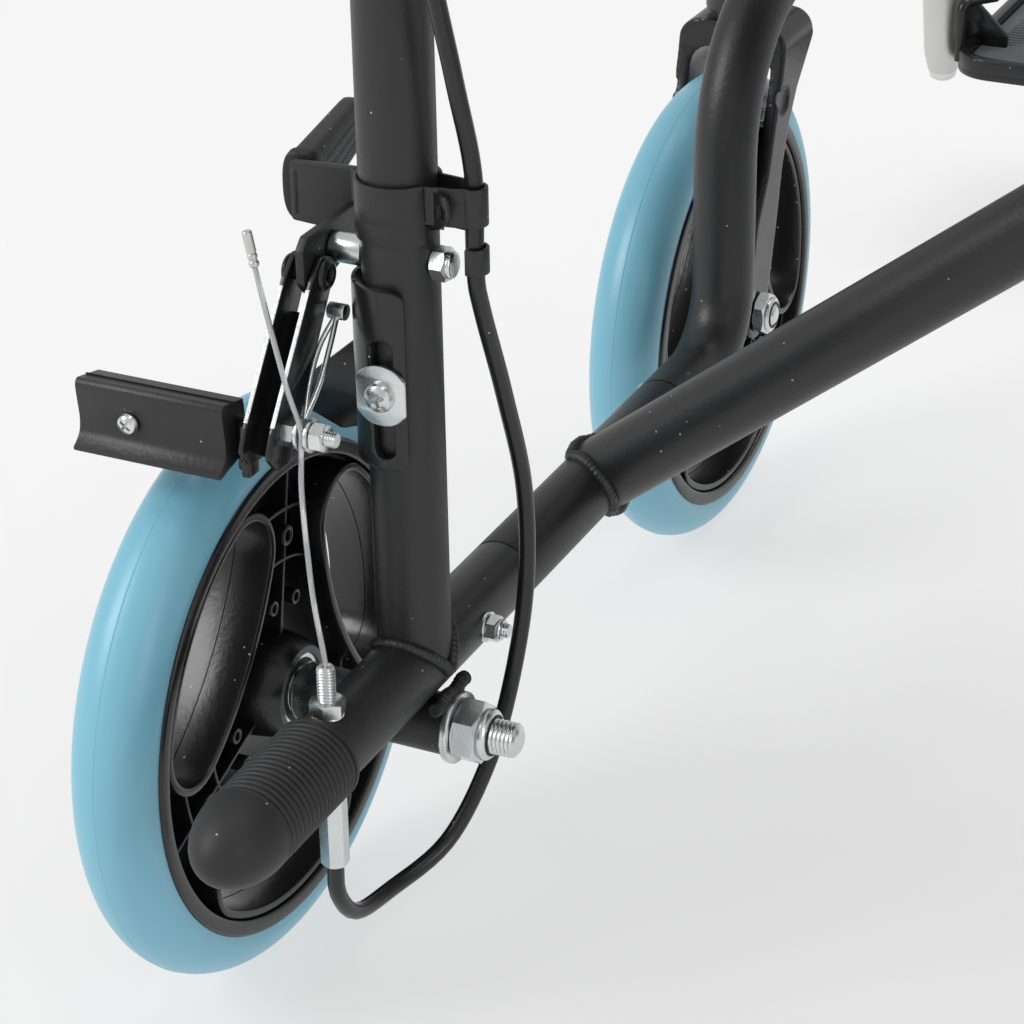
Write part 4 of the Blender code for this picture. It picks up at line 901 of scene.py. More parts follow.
def ring_tree():
    """A number of rings, evenly spaced along a path and square to it."""
    made = Tree("ring_stack", [("Rings", 17), ("Ring", 0.013), ("Bead", 0.0012)])
    start = made.start
    curve = made.add("GeometryNodeMeshToCurve", Mesh=start["Geometry"])[0]
    points = made.add("GeometryNodeCurveToPoints", {"mode": "COUNT"}, Curve=curve, Count=start["Rings"])
    loop = made.add("GeometryNodeCurvePrimitiveCircle", Resolution=56, Radius=start["Ring"])["Curve"]
    circle = made.add("GeometryNodeCurvePrimitiveCircle", Resolution=10, Radius=start["Bead"])["Curve"]
    ring = made.add("GeometryNodeCurveToMesh", Curve=loop, Profile_Curve=circle)[0]
    return made.finish(made.copies(points["Points"], ring, Rotation=points["Rotation"]))


def around_tree():
    """The base shape repeated evenly about the Z axis."""
    made = Tree("around_axis", [("Count", 3)])
    start = made.start
    points = made.add("GeometryNodePoints", Count=start["Count"])[0]
    number = made.add("GeometryNodeInputIndex")[0]
    angle = made.calc("DIVIDE", made.calc("MULTIPLY", number, 2 * math.pi), start["Count"])
    turn = made.add("ShaderNodeCombineXYZ", Z=angle)[0]
    return made.finish(made.copies(points, start["Geometry"], Rotation=turn))


def stitch_tree():
    """Short thread lengths laid along a seam."""
    made = Tree("stitch_row", [("Spacing", 0.004), ("Stitch", 0.0026), ("Thread", 0.0004)])
    start = made.start
    curve = made.add("GeometryNodeMeshToCurve", Mesh=start["Geometry"])[0]
    points = made.add("GeometryNodeCurveToPoints", {"mode": "LENGTH"}, Curve=curve, Length=start["Spacing"])
    sides = {"Vertices": 6, "Radius": start["Thread"], "Depth": start["Stitch"]}
    stitch = made.add("GeometryNodeMeshCylinder", None, **sides)[0]
    return made.finish(made.copies(points["Points"], stitch, Rotation=points["Rotation"]))


def rib_tree():
    """One low rib, repeated side by side."""
    made = Tree("tread_ribs", [("Ribs", 12), ("Pitch", 0.006), ("Bead", 0.0006)])
    start = made.start
    curve = made.add("GeometryNodeMeshToCurve", Mesh=start["Geometry"])[0]
    circle = made.add("GeometryNodeCurvePrimitiveCircle", Resolution=8, Radius=start["Bead"])["Curve"]
    rib = {"Curve": curve, "Profile Curve": circle, "Fill Caps": True}
    rib = made.add("GeometryNodeCurveToMesh", None, **rib)[0]
    step = made.add("ShaderNodeCombineXYZ", Y=start["Pitch"])[0]
    row = made.add("GeometryNodeMeshLine", {"mode": "OFFSET"}, Count=start["Ribs"], Offset=step)[0]
    return made.finish(made.copies(row, rib))


WELD = weld_tree()
RINGS = ring_tree()
AROUND = around_tree()
STITCHES = stitch_tree()
RIBS = rib_tree()


def weld(points, bead, closed=True):
    return grown(WELD, line_mesh(points, closed), "powder_coat", Bead=bead, Ripple=0.14, Pitch=0.0017)


def stitched(points):
    return grown(STITCHES, line_mesh(points), "thread_black", Spacing=0.0042, Stitch=0.0030, Thread=0.00035)


# %% [markdown]
# ## The side frame
# Each side is bent from one 24 mm tube size: a lower rail, an S-shaped front tube
# that runs up and back as the armrest, and a post that ends in the push handle.
# Swept circles give true bends. The rail stops at a sleeve that turns on a thinner
# inner tube, and every joint carries a rippled weld bead where the tubes meet.

# %% Sizes of the frame
WHEEL_R = 0.100
WHEEL_X = 0.275
HUB_HALF = 0.0175
RAIL_X = 0.215
TUBE_R = 0.012
AXLE_TUBE_R = 0.010
AXLE_TUBE_INNER_X = 0.2018
RAIL_BOLT_YS = (-0.029, -0.214)
RAIL_Z = 0.1215
RAIL_REAR_Y = 0.104
SLEEVE_REAR_Y = -0.0635
SLEEVE_FRONT_Y = -0.2040
CORE_R = 0.0102
UPPER_Z = 0.260
UPRIGHT_Y = -0.400
ARM_Z = 0.700
BEND_R = 0.0592
POST_BEND_Z = 0.520
POST_LEAN = math.radians(6.0)
HANDLE_Z = 0.935
HANDLE_BEND_R = 0.045
HANDLE_END_Y = 0.222
SUPPORT_R = 0.011
SUPPORT_Z = 0.426
SEAT_RAIL_R = 0.011
SEAT_RAIL_Z = RAIL_Z + 2 * RAIL_X * math.tan(math.radians(38.3))
STEM_X = 0.256
STEM_Y = -0.389
TRAIL = 0.041
HOUSING_R = 0.017
HOUSING_Z = (0.2185, 0.325)
HANGER_Y = -0.4245
HANGER_R = 0.011
HOUSING_BRACE_ZS = (0.274, 0.308)
GAP = 0.0003
RISER_Y = SLEEVE_FRONT_Y - 0.0005 - BEND_R


def post_point(z):
    """The middle of the post at a height; above the seat it leans back."""
    return Vector((RAIL_X, max(0.0, z - POST_BEND_Z) * math.tan(POST_LEAN), z))


def saddle_curve(centre, main_r, branch_r):
    """Where an upright branch tube meets a main tube along Y."""
    points = circle(centre, ACROSS * branch_r, BACK * branch_r, 72)
    for point in points:
        point.z += math.sqrt(max(0.0, main_r**2 - (point.x - centre[0]) ** 2))
    return points


# %% Tubes and welds of the frame
def frame_tubes():
    parts = [rod(*along_y(RAIL_X, RAIL_Z, SLEEVE_REAR_Y, RAIL_REAR_Y), TUBE_R, 0.0007, 64)]
    parts.append(rod(*along_y(RAIL_X, RAIL_Z, -0.02, SLEEVE_FRONT_Y - 0.01), CORE_R))
    front = [(RAIL_X, SLEEVE_FRONT_Y, RAIL_Z), (RAIL_X, RISER_Y, RAIL_Z), (RAIL_X, RISER_Y, UPPER_Z)]
    front += [(RAIL_X, UPRIGHT_Y, UPPER_Z), (RAIL_X, UPRIGHT_Y, ARM_Z), (RAIL_X, post_point(ARM_Z).y, ARM_Z)]
    parts.append(bent_tube(front, TUBE_R, BEND_R, 56))
    post = [(RAIL_X, 0, RAIL_Z + TUBE_R / 3), (RAIL_X, 0, POST_BEND_Z), post_point(HANDLE_Z)]
    post.append((RAIL_X, HANDLE_END_Y, HANDLE_Z))
    parts.append(bent_tube(post, TUBE_R, HANDLE_BEND_R, 56))
    parts.append(rod(*along_y(RAIL_X, SUPPORT_Z, 0, UPRIGHT_Y), SUPPORT_R, sides=48))
    parts.append(rod(*along_x(0, WHEEL_R, AXLE_TUBE_INNER_X, RAIL_X + TUBE_R), AXLE_TUBE_R, sides=48))
    return in_finish("powder_coat", *parts)


def frame_welds():
    post = saddle_curve((RAIL_X, 0, RAIL_Z), TUBE_R + 0.0004, TUBE_R + 0.0005)
    row = [(0.011 - 0.022 * k / 12, 0.1115 - 0.0008 * math.sin(k)) for k in range(13)]
    inner, outer = ([(RAIL_X + side, y, z) for y, z in row] for side in (-0.0121, 0.0125))
    parts = [weld(post, 0.0020), weld(inner, 0.0024, False), weld(outer, 0.0022, False)]
    for y, sign in ((0.0, -1), (UPRIGHT_Y, 1)):
        ring = circle((RAIL_X, y, SUPPORT_Z), ACROSS * SUPPORT_R, UP * SUPPORT_R, 60)
        for point in ring:
            point.y += sign * math.sqrt(max(0.0, TUBE_R**2 - (point.x - RAIL_X) ** 2))
        parts.append(weld(ring, 0.0016))
    ring = circle((RAIL_X, post_point(ARM_Z).y - 0.001, ARM_Z), ACROSS * TUBE_R, UP * TUBE_R, 60)
    for point in ring:
        point.y -= abs(point.z - ARM_Z)
    parts.append(weld(ring, 0.0016))
    return parts


# %% Caster housing and footrest sockets
def caster_housing():
    low, high = HOUSING_Z
    tall = high - low
    profile = [(0, 0), (HOUSING_R, 0), (HOUSING_R, tall - 0.003), (HOUSING_R - 0.002, tall)]
    profile += [(HOUSING_R - 0.006, tall + 0.0035), (0, tall + 0.005)]
    parts = in_finish("powder_coat", turned(eased(profile, 0.0009), *along_z(STEM_X, STEM_Y, low, high), 56))
    side_x = STEM_X - HOUSING_R
    weld_angles = [k / 8 for k in range(50)]
    for z in HOUSING_BRACE_ZS:
        parts += in_finish("powder_coat", rod(*along_x(STEM_Y, z, RAIL_X, side_x + 0.006), 0.009))
        ring = [(side_x + 0.0016, STEM_Y + 0.0092 * math.cos(a), z + 0.0092 * math.sin(a)) for a in weld_angles]
        parts.append(weld(ring, 0.0014))
    return parts


def hanger_sockets():
    step = block((RAIL_X - 0.009, HANGER_Y - 0.009, 0.344), (RAIL_X + 0.009, UPRIGHT_Y, 0.350), 0.0012)
    pin = rod(*along_z(RAIL_X, HANGER_Y, 0.346, 0.376), 0.006, 0.0012)
    eye = collar(*along_z(RAIL_X, HANGER_Y, 0.436, 0.452), HANGER_R + 0.0005, HANGER_R + 0.0035, 0.0006)
    return in_finish("powder_coat", step, pin, eye)


# %% Wheel spacer and rail bolts
def wheel_spacer():
    """The plated sleeve that keeps the wheel clear of the rail."""
    ends = along_x(0, WHEEL_R, RAIL_X + TUBE_R - 0.001, WHEEL_X - HUB_HALF - 0.0005)
    return in_finish("zinc", collar(*ends, 0.0064, AXLE_TUBE_R, 0.0008))


def rail_bolts():
    """Two small bolts through the rail hold the inner tube."""
    inner, outer = RAIL_X - TUBE_R, RAIL_X + TUBE_R
    dome = [(0, 0), (0.0046, 0), (0.0046, 0.0006), (0.0036, 0.0024), (0.0016, 0.0031), (0, 0.0032)]
    parts = []
    for y in RAIL_BOLT_YS:
        parts.append(collar(*along_x(y, RAIL_Z, inner + 0.0008, inner - 0.0006), 0.0025, 0.0052))
        parts += hex_nut(*along_x(y, RAIL_Z, inner - 0.0006, inner - 0.0044), 0.0082, 0.0014, 0.3)
        parts.append(thread(*along_x(y, RAIL_Z, inner - 0.004, inner - 0.0078), 0.0025, 0.0008))
        parts.append(turned(dome, *along_x(y, RAIL_Z, outer - 0.0008, outer + 0.003), 32))
    return in_finish("zinc", *parts)


frame_parts = frame_tubes() + frame_welds() + caster_housing() + hanger_sockets()
both_sides("frame_tubes", frame_parts, "frame", ["side_frame"])
both_sides("wheel_spacer", wheel_spacer(), "frame")
both_sides("rail_bolts", rail_bolts(), "frame")
print("side frame triangles:", counts["frame_tubes_left"])

# %% [markdown]
# ## The rear wheel
# The wheel is one moulding: a ring, a thin web, a hub and three large windows with
# deep walls, whose inside shows the line where the two mould halves met. Ribs and
# arcs stiffen the web between the windows. One third is drawn flat, and a tree
# repeats it about the axle. The tyre is a half round with a fine parting line.

# %% Sizes of the wheel
TYRE_R = 0.0142
RIM_R = 0.0844
RIM_HALF = 0.015
RING_INNER_R = 0.0789
WEB_HALF = 0.002
HUB_R = 0.017
AXLE_R = 0.006
WINDOW_WALL = 0.003
WALL_HALF = 0.014
WINDOW_ANGLE = 40.0
RIB_HALF = 0.0088
BOSS_HALF = 0.0098
BOSSES = ((60, 0.0525, 0.0036), (46, 0.0300, 0.0028), (74, 0.0300, 0.0028))
WHEEL_TURN = Matrix(((0, 0, 1, 0), (1, 0, 0, 0), (0, 1, 0, 0), (0, 0, 0, 1)))
WHEEL_AXIS = ((0, 0, 0), (0, 0, 1))


def window_outline(inset):
    """One window, a rounded kidney that bulges towards the hub, pointing along +X."""
    root = arc_points((0.1500, 0), 0.1174 - inset, 163, 197, 22)
    corner = arc_points((0.0540, -0.0294), 0.0170 - inset, 203, 331, 22)
    crest = arc_points((0, 0), 0.0785 - inset, -28, 28, 24)
    return root + corner + crest[1:-1] + [(x, -y) for x, y in reversed(corner)]


def arc_band(inner, outer, start, end):
    return arc_points((0, 0), outer, start, end, 20) + arc_points((0, 0), inner, end, start, 20)


# %% One third of the wheel's middle
def wheel_third():
    """A window's wall with its mould line, and the ribs and bosses of the spoke beside it."""
    wall = plate(window_outline(0), "z", -WALL_HALF, WALL_HALF, 0.0009, [window_outline(WINDOW_WALL)])
    line_hole = window_outline(WINDOW_WALL + 0.00022)
    parts = [wall, plate(window_outline(0.0022), "z", -0.00028, 0.00028, 0.0001, [line_hole])]
    for band in (arc_band(0.0435, 0.0449, 36, 84), arc_band(0.0610, 0.0624, 45, 75)):
        parts.append(plate(band, "z", -RIB_HALF, RIB_HALF, 0.0005))
    rib = plate(rectangle((0.0150, -0.0007), (0.0795, 0.0007)), "z", -RIB_HALF, RIB_HALF, 0.0005)
    parts.append(shaped(rib, Matrix.Rotation(math.radians(60), 4, "Z")))
    for angle, reach, size in BOSSES:
        place = Matrix.Rotation(math.radians(angle), 4, "Z") @ (ACROSS * reach)
        parts.append(collar(place - UP * BOSS_HALF, place + UP * BOSS_HALF, size * 0.5, size, 0.0005, 24))
    return shaped(joined(parts), Matrix.Rotation(math.radians(WINDOW_ANGLE), 4, "Z"))


# %% The whole rim
def wheel_rim():
    ring = eased(rectangle((RING_INNER_R, -RIM_HALF), (RIM_R, RIM_HALF)), 0.0011, closed=True)
    step = eased(rectangle((0.0768, -0.0092), (0.0795, 0.0092)), 0.0006, closed=True)
    parts = [turned(ring, *WHEEL_AXIS, 144), turned(step, *WHEEL_AXIS, 144)]
    holes = []
    for k in range(3):
        turn = Matrix.Rotation(math.radians(WINDOW_ANGLE + 120 * k), 2)
        holes.append([turn @ Vector(point) for point in window_outline(WINDOW_WALL / 2)])
    disc = arc_points((0, 0), 0.0797, 0, 357.5, 143)
    parts.append(plate(disc, "z", -WEB_HALF, WEB_HALF, 0.0003, holes))
    hub = [(0.0126, 0.0010), (0.0126, HUB_HALF), (0.0150, HUB_HALF), (HUB_R, HUB_HALF - 0.003)]
    hub.append((HUB_R + 0.002, 0.0010))
    for side in (1, -1):
        parts.append(turned([(r, side * h) for r, h in hub], *WHEEL_AXIS, 56))
    made = in_finish("wheel_plastic", *parts)
    made.append(grown(AROUND, wheel_third(), "wheel_plastic", Count=3))
    for side in (1, -1):
        inner, sunk, outer = (side * (HUB_HALF - depth) for depth in (0.0060, 0.0014, 0.0008))
        made += in_finish("zinc", collar(*along_z(0, 0, inner, outer), 0.0108, 0.0127, 0.0004))
        made += in_finish("soft_rubber", collar(*along_z(0, 0, inner, sunk), 0.0080, 0.0109, 0.0002))
        made += in_finish("zinc", collar(*along_z(0, 0, inner, outer), AXLE_R + 0.0001, 0.0081, 0.0003))
    return [(shaped(mesh, WHEEL_TURN), label) for mesh, label in made]


def wheel_tyre():
    """A half round with a fine raised parting line."""
    section = []
    for degrees in sorted([85 * k / 40 for k in range(-40, 41)] + [-0.7, 0.7]):
        angle = math.radians(degrees)
        size = TYRE_R + (0.00012 if degrees == 0 else 0)
        section.append((WHEEL_R - TYRE_R + size * math.cos(angle), size * math.sin(angle)))
    profile = [(RIM_R + 0.0001, -TYRE_R + 0.0003), *section, (RIM_R + 0.0001, TYRE_R - 0.0003)]
    return in_finish("blue_rubber", shaped(turned(profile, *WHEEL_AXIS, 180), WHEEL_TURN))


# %% Four wheels from one drawing
WHEELS = {"rear": (WHEEL_X, 0, WHEEL_R), "caster": (STEM_X, STEM_Y + TRAIL, WHEEL_R)}
wheel_pieces = (
    ("moulding", "rim", wheel_rim(), "black_moulding"),
    ("tread", "tyre", wheel_tyre(), "blue_tyre"),
)
for kind, place in WHEELS.items():
    shift = Matrix.Translation(place)
    for look, node, parts, slot in wheel_pieces:
        moved = [(shaped(mesh, shift), label) for mesh, label in parts]
        both_sides(f"{kind}_wheel_{look}", moved, f"{kind}_wheel", [f"{kind}_{node}"])
print("one wheel's triangles:", counts["rear_wheel_moulding_left"] + counts["rear_wheel_tread_left"])

# %% [markdown]
# ## Axle bolts
# Wheel bolts carry zinc plate with chamfered hexagons. The locking nut has a
# rounded collar with a nylon ring inside, and the bolt's end shows a few threads
# and a domed tip. The chamfer on each corner is what makes a nut look turned.

# %% Rear axle and caster axle
FORK_HALF = 0.0238
REAR_FLATS = 0.019
CASTER_FLATS = 0.0165


def nut_with_end(base, direction, flats, height, ring_height, bolt_r, reach, turn):
    """A locking nut on a threaded end; base is where the nut sits, direction is +1 or -1 along X."""
    start = Vector(base)
    way = ACROSS * direction
    top = start + way * (height + ring_height)
    end = start + way * reach
    parts = in_finish("zinc", *hex_nut(start, start + way * height, flats, ring_height, turn))
    nylon = collar(top - way * 0.0006, top + way * 0.00035, bolt_r - 0.0002, bolt_r + 0.0009, 0.0002)
    parts += in_finish("soft_rubber", nylon)
    tip = bolt_r * 0.86
    dome = [(0, 0), (tip, 0), (tip, 0.0006), (tip * 0.8, 0.0014), (tip * 0.45, 0.0018), (0, 0.0019)]
    bolt = thread(start + way * height * 0.8, end - way * 0.0016, bolt_r, bolt_r * 0.24)
    return parts + in_finish("zinc", bolt, turned(dome, end - way * 0.0022, end, 32))


def rear_axle():
    inner = AXLE_TUBE_INNER_X - GAP
    outer = WHEEL_X + HUB_HALF + 0.0005
    parts = in_finish("zinc", collar(*along_x(0, WHEEL_R, inner, inner - 0.0026), 0.0064, 0.0120, 0.0005))
    nut_base = (inner - 0.0026, 0, WHEEL_R)
    parts += nut_with_end(nut_base, -1, REAR_FLATS, 0.0088, 0.0030, AXLE_R, 0.0216, 0.35)
    shank = rod(*along_x(0, WHEEL_R, inner - 0.004, outer + 0.002), AXLE_R - 0.0002)
    head = hex_nut(*along_x(0, WHEEL_R, outer, outer + 0.0075), REAR_FLATS, turn=0.2)
    foot = collar(*along_x(0, WHEEL_R, outer - 0.0008, outer + 0.0004), 0.0064, 0.0098)
    return parts + in_finish("zinc", shank, *head, foot)


def caster_axle():
    y = STEM_Y + TRAIL
    low = STEM_X - FORK_HALF - GAP
    high = STEM_X + FORK_HALF + GAP
    parts = nut_with_end((low, y, WHEEL_R), -1, CASTER_FLATS, 0.0052, 0.0016, AXLE_R * 0.8, 0.0085, 0.5)
    shank = rod(*along_x(y, WHEEL_R, low - 0.001, high + 0.001), AXLE_R - 0.0002)
    head = hex_nut(*along_x(y, WHEEL_R, high, high + 0.0055), CASTER_FLATS)
    return parts + in_finish("zinc", shank, *head)


both_sides("rear_axle_bolt", rear_axle(), "frame", ["rear_axle"])
both_sides("caster_axle_bolt", caster_axle(), "caster_yoke", ["caster_axle"])

# %% [markdown]
# ## Caster fork
# The fork is a thick plastic moulding with a rounded crown and two legs. A cut and
# intersected block gives its outline, and a fine voxel remesh with a little
# smoothing rounds every edge, as a mould does, where a bevel would break up.

# %% The moulded fork
CROWN_Z = 0.216
ARCH_Z = 0.2045
ARCH_HALF = 0.018
LEG_FRONT = (
    (-0.016, CROWN_Z), (-0.017, ARCH_Z), (-0.010, 0.197), (0.001, 0.186),
    (0.010, 0.172), (0.016, 0.156), (0.020, 0.138),
)
LEG_REAR = (
    (0.0495, 0.120), (0.0440, 0.140), (0.033, 0.158), (0.027, 0.176),
    (0.021, 0.192), (0.0175, 0.204), (0.0165, CROWN_Z),
)
LEG_EYE_R = 0.0115
DIMPLE_YZ = (STEM_Y + 0.017, 0.186)


def caster_fork():
    side = [(STEM_Y + y, z) for y, z in LEG_FRONT]
    side += arc_points((STEM_Y + TRAIL, WHEEL_R), LEG_EYE_R, 170, 360, 24)
    side += [(STEM_Y + y, z) for y, z in LEG_REAR]
    body = plate(side, "x", STEM_X - FORK_HALF, STEM_X + FORK_HALF, 0.0004)
    front = rectangle((STEM_X - FORK_HALF, 0.05), (STEM_X + FORK_HALF, CROWN_Z))
    keep = plate(rounded_outline(front, 0.0095, 12), "y", STEM_Y - 0.1, STEM_Y + 0.1, 0.0002)
    arch = rectangle((STEM_X - ARCH_HALF, 0.02), (STEM_X + ARCH_HALF, ARCH_Z))
    hollow = plate(rounded_outline(arch, 0.008, 12), "y", STEM_Y - 0.12, STEM_Y + 0.12, 0.0002)
    moulded = combined("DIFFERENCE", combined("INTERSECT", body, keep), hollow)
    for x, way in ((STEM_X - FORK_HALF, 1), (STEM_X + FORK_HALF, -1)):
        dimple = rod(*along_x(*DIMPLE_YZ, x - way * 0.004, x + way * 0.0016), 0.0062, 0.001)
        moulded = combined("DIFFERENCE", moulded, dimple)
    stem = rod(*along_z(STEM_X, STEM_Y, 0.210, 0.309), 0.006)
    race = collar(*along_z(STEM_X, STEM_Y, 0.2155, 0.2182), 0.0062, 0.0125, 0.0006)
    return in_finish("wheel_plastic", softened(moulded, 0.0009, 5)) + in_finish("zinc", stem, race)


both_sides("moulded_fork", caster_fork(), "caster_yoke", ["caster_fork"])
print("fork triangles:", counts["moulded_fork_left"])

# %% [markdown]
# ## The tipping cap
# A push with the foot on this rubber cap tips the chair over a kerb. It is a thick
# sleeve with a round tip and seventeen rings for grip. The sleeve is turned, and
# the ring tree lays the rings along its axis, each a full torus, so the light
# catches one thin line on every ring as it does on the real rubber.

# %% Cap and rings
CAP_R = 0.0145
CAP_FRONT_Y = 0.0645
CAP_DOME_Y = 0.1085
CAP_TIP_Y = 0.131


def tipping_cap():
    bore = TUBE_R + 0.0001
    waist = CAP_R - 0.0013
    straight = CAP_DOME_Y - CAP_FRONT_Y
    whole = CAP_TIP_Y - CAP_FRONT_Y
    depth = RAIL_REAR_Y + GAP - CAP_FRONT_Y
    profile = [(bore, 0), (CAP_R - 0.0005, 0), (CAP_R, 0.0006), (CAP_R, 0.0018), (waist, 0.0024)]
    profile += [(waist, straight - 0.0012), (CAP_R, straight)]
    for k in range(1, 24):
        angle = math.radians(90 * k / 24)
        profile.append((CAP_R * math.cos(angle), straight + (whole - straight) * math.sin(angle)))
    profile += [(0, whole), (0, depth), (bore, depth)]
    shell = turned(profile, *along_y(RAIL_X, RAIL_Z, CAP_FRONT_Y, CAP_TIP_Y), 72)
    line = line_mesh(along_y(RAIL_X, RAIL_Z, CAP_FRONT_Y + 0.0036, CAP_DOME_Y - 0.0010))
    rings = grown(RINGS, line, "soft_rubber", Rings=17, Ring=CAP_R - 0.0012, Bead=0.00118)
    return [(shell, "soft_rubber"), rings]


both_sides("ringed_tipping_cap", tipping_cap(), "frame", ["tipping_cap"])

# %% [markdown]
# ## Cable, adjuster and bare wire
# The brake cable's sheath rises from a long coupling under the rail, past the axle
# nut and up the post to the hand lever. Its inner wire comes out of a hollow screw
# and runs, bare, to the pinch bolt and on to its crimped end. The sheath is a swept
# circle; the wire is five thin strands wound about one line.

# %% Adjuster
ADJUSTER_Y = 0.0575
ADJUSTER_TOP_Z = 0.150
COUPLING_Z = (0.079, 0.108)
SHEATH_R = 0.00275
PINCH_YZ = (0.0385, 0.217)
ARM_X = (0.2352, 0.2462)
LEVER_PIVOT = (0.108, 0.9065)


def cable_adjuster():
    top, low = RAIL_Z + TUBE_R, RAIL_Z - TUBE_R
    tip, foot = ADJUSTER_TOP_Z, COUPLING_Z[0]
    axis = (RAIL_X, ADJUSTER_Y)
    parts = [thread(*along_z(*axis, top - 0.001, tip), 0.0030, 0.00105, 32)]
    parts.append(collar(*along_z(*axis, tip - 0.0004, tip + 0.0004), 0.0012, 0.0023, 0.0002))
    parts.append(rod(*along_z(*axis, low + 0.001, low - 0.004), 0.0028))
    parts += hex_nut(*along_z(*axis, top + 0.0002, top + 0.0052), 0.010, turn=0.25)
    parts.append(rod(*along_z(*axis, top - 0.0005, top + 0.0006), 0.0052))
    parts += hex_nut(*along_z(*axis, min(COUPLING_Z[1], low - GAP), foot), 0.0080, turn=0.4)
    parts.append(rod(*along_z(*axis, foot + 0.001, foot - 0.0006), 0.0033))
    return in_finish("zinc", *parts)


both_sides("hollow_adjuster", cable_adjuster(), "frame", ["cable_adjuster"])


# %% Sheath
SHEATH_ROUTE = [
    (RAIL_X, ADJUSTER_Y, COUPLING_Z[0] - GAP), (RAIL_X + 0.0005, 0.056, 0.066), (RAIL_X, 0.046, 0.053),
    (RAIL_X - 0.002, 0.026, 0.0495), (0.2035, 0.004, 0.057), (0.1965, -0.012, 0.078), (0.1925, -0.023, 0.104),
    (0.1900, -0.031, 0.138), (0.1895, -0.030, 0.175), (0.1900, -0.018, 0.213), (0.190, -0.004, 0.247),
    (0.190, 0.0, 0.262), (0.190, 0.0, 0.292), (0.1905, 0.010, 0.325), (0.1930, 0.021, 0.370),
    (0.1980, 0.024, 0.430), (0.2030, 0.023, 0.500), (0.2060, 0.027, 0.560), (0.2075, 0.0335, 0.640),
    (0.2080, 0.0415, 0.720), (0.2090, 0.0495, 0.800), (0.2115, 0.0560, 0.855), (0.2140, 0.0660, 0.888),
    (RAIL_X, LEVER_PIVOT[0] - 0.0225, LEVER_PIVOT[1] - 0.0010),
]
sheath = smooth_route(SHEATH_ROUTE, 0.004)
sheath_parts = in_finish("cable_sheath", sweep(sheath, SHEATH_R, 28))
both_sides("cable_sheath", sheath_parts, "frame", ["brake_cable"])
print("sheath length in metres:", round(path_length(sheath), 3))


# %% Bare wire with its crimped end
def bare_wire():
    x = ARM_X[0] - 0.0068
    pinch_y, pinch_z = PINCH_YZ
    y = pinch_y + 0.0025 + GAP + 0.0009
    route = [
        (RAIL_X, ADJUSTER_Y, ADJUSTER_TOP_Z - 0.0085), (RAIL_X, ADJUSTER_Y, ADJUSTER_TOP_Z + 0.001),
        (RAIL_X + 0.0055, 0.0535, 0.172), (x - 0.0015, y + 0.0035, pinch_z - 0.018), (x, y, pinch_z - 0.004),
        (x, y, pinch_z + 0.004), (x + 0.0035, y + 0.001, pinch_z + 0.018),
        (x + 0.0090, y + 0.002, pinch_z + 0.045),
        (x + 0.0125, y + 0.003, pinch_z + 0.066),
    ]
    path = smooth_route(route, 0.0008)
    frames = path_frames(path)
    parts = [(sweep(path[:-12], 0.00042, 8), "wire_steel")]
    for strand in range(6):
        line = []
        for i, (point, (_, across, above)) in enumerate(zip(path[:-12], frames)):
            angle = 2 * math.pi * (strand / 6 + i / 11)
            line.append(point + (across * math.cos(angle) + above * math.sin(angle)) * 0.00054)
        parts.append((sweep(line, 0.00036, 6), "wire_steel"))
    crimp = smooth_route(path[-16:], 0.0004)
    count = len(crimp) - 1
    radii = []
    for i in range(len(crimp)):
        share = i / count
        size = 0.00155
        if share < 0.42:
            size = 0.00105 + 0.00055 * abs(math.sin(share / 0.42 * math.pi * 2))
        radii.append(size * (0.8 if i in (0, count) else 1))
    parts.append((sweep(crimp, 0.0015, 20, radii), "satin_alloy"))
    return parts


both_sides("stranded_wire", bare_wire(), "frame", ["brake_wire"])

# %% [markdown]
# ## The cable clip
# A sprung steel band grips the post. Its ends turn inward round the sheath, and
# below them a small open hook holds it a second time. The strips stand on edge, so
# each is a plan path given a width; the torn latch ear is a small plate with teeth.

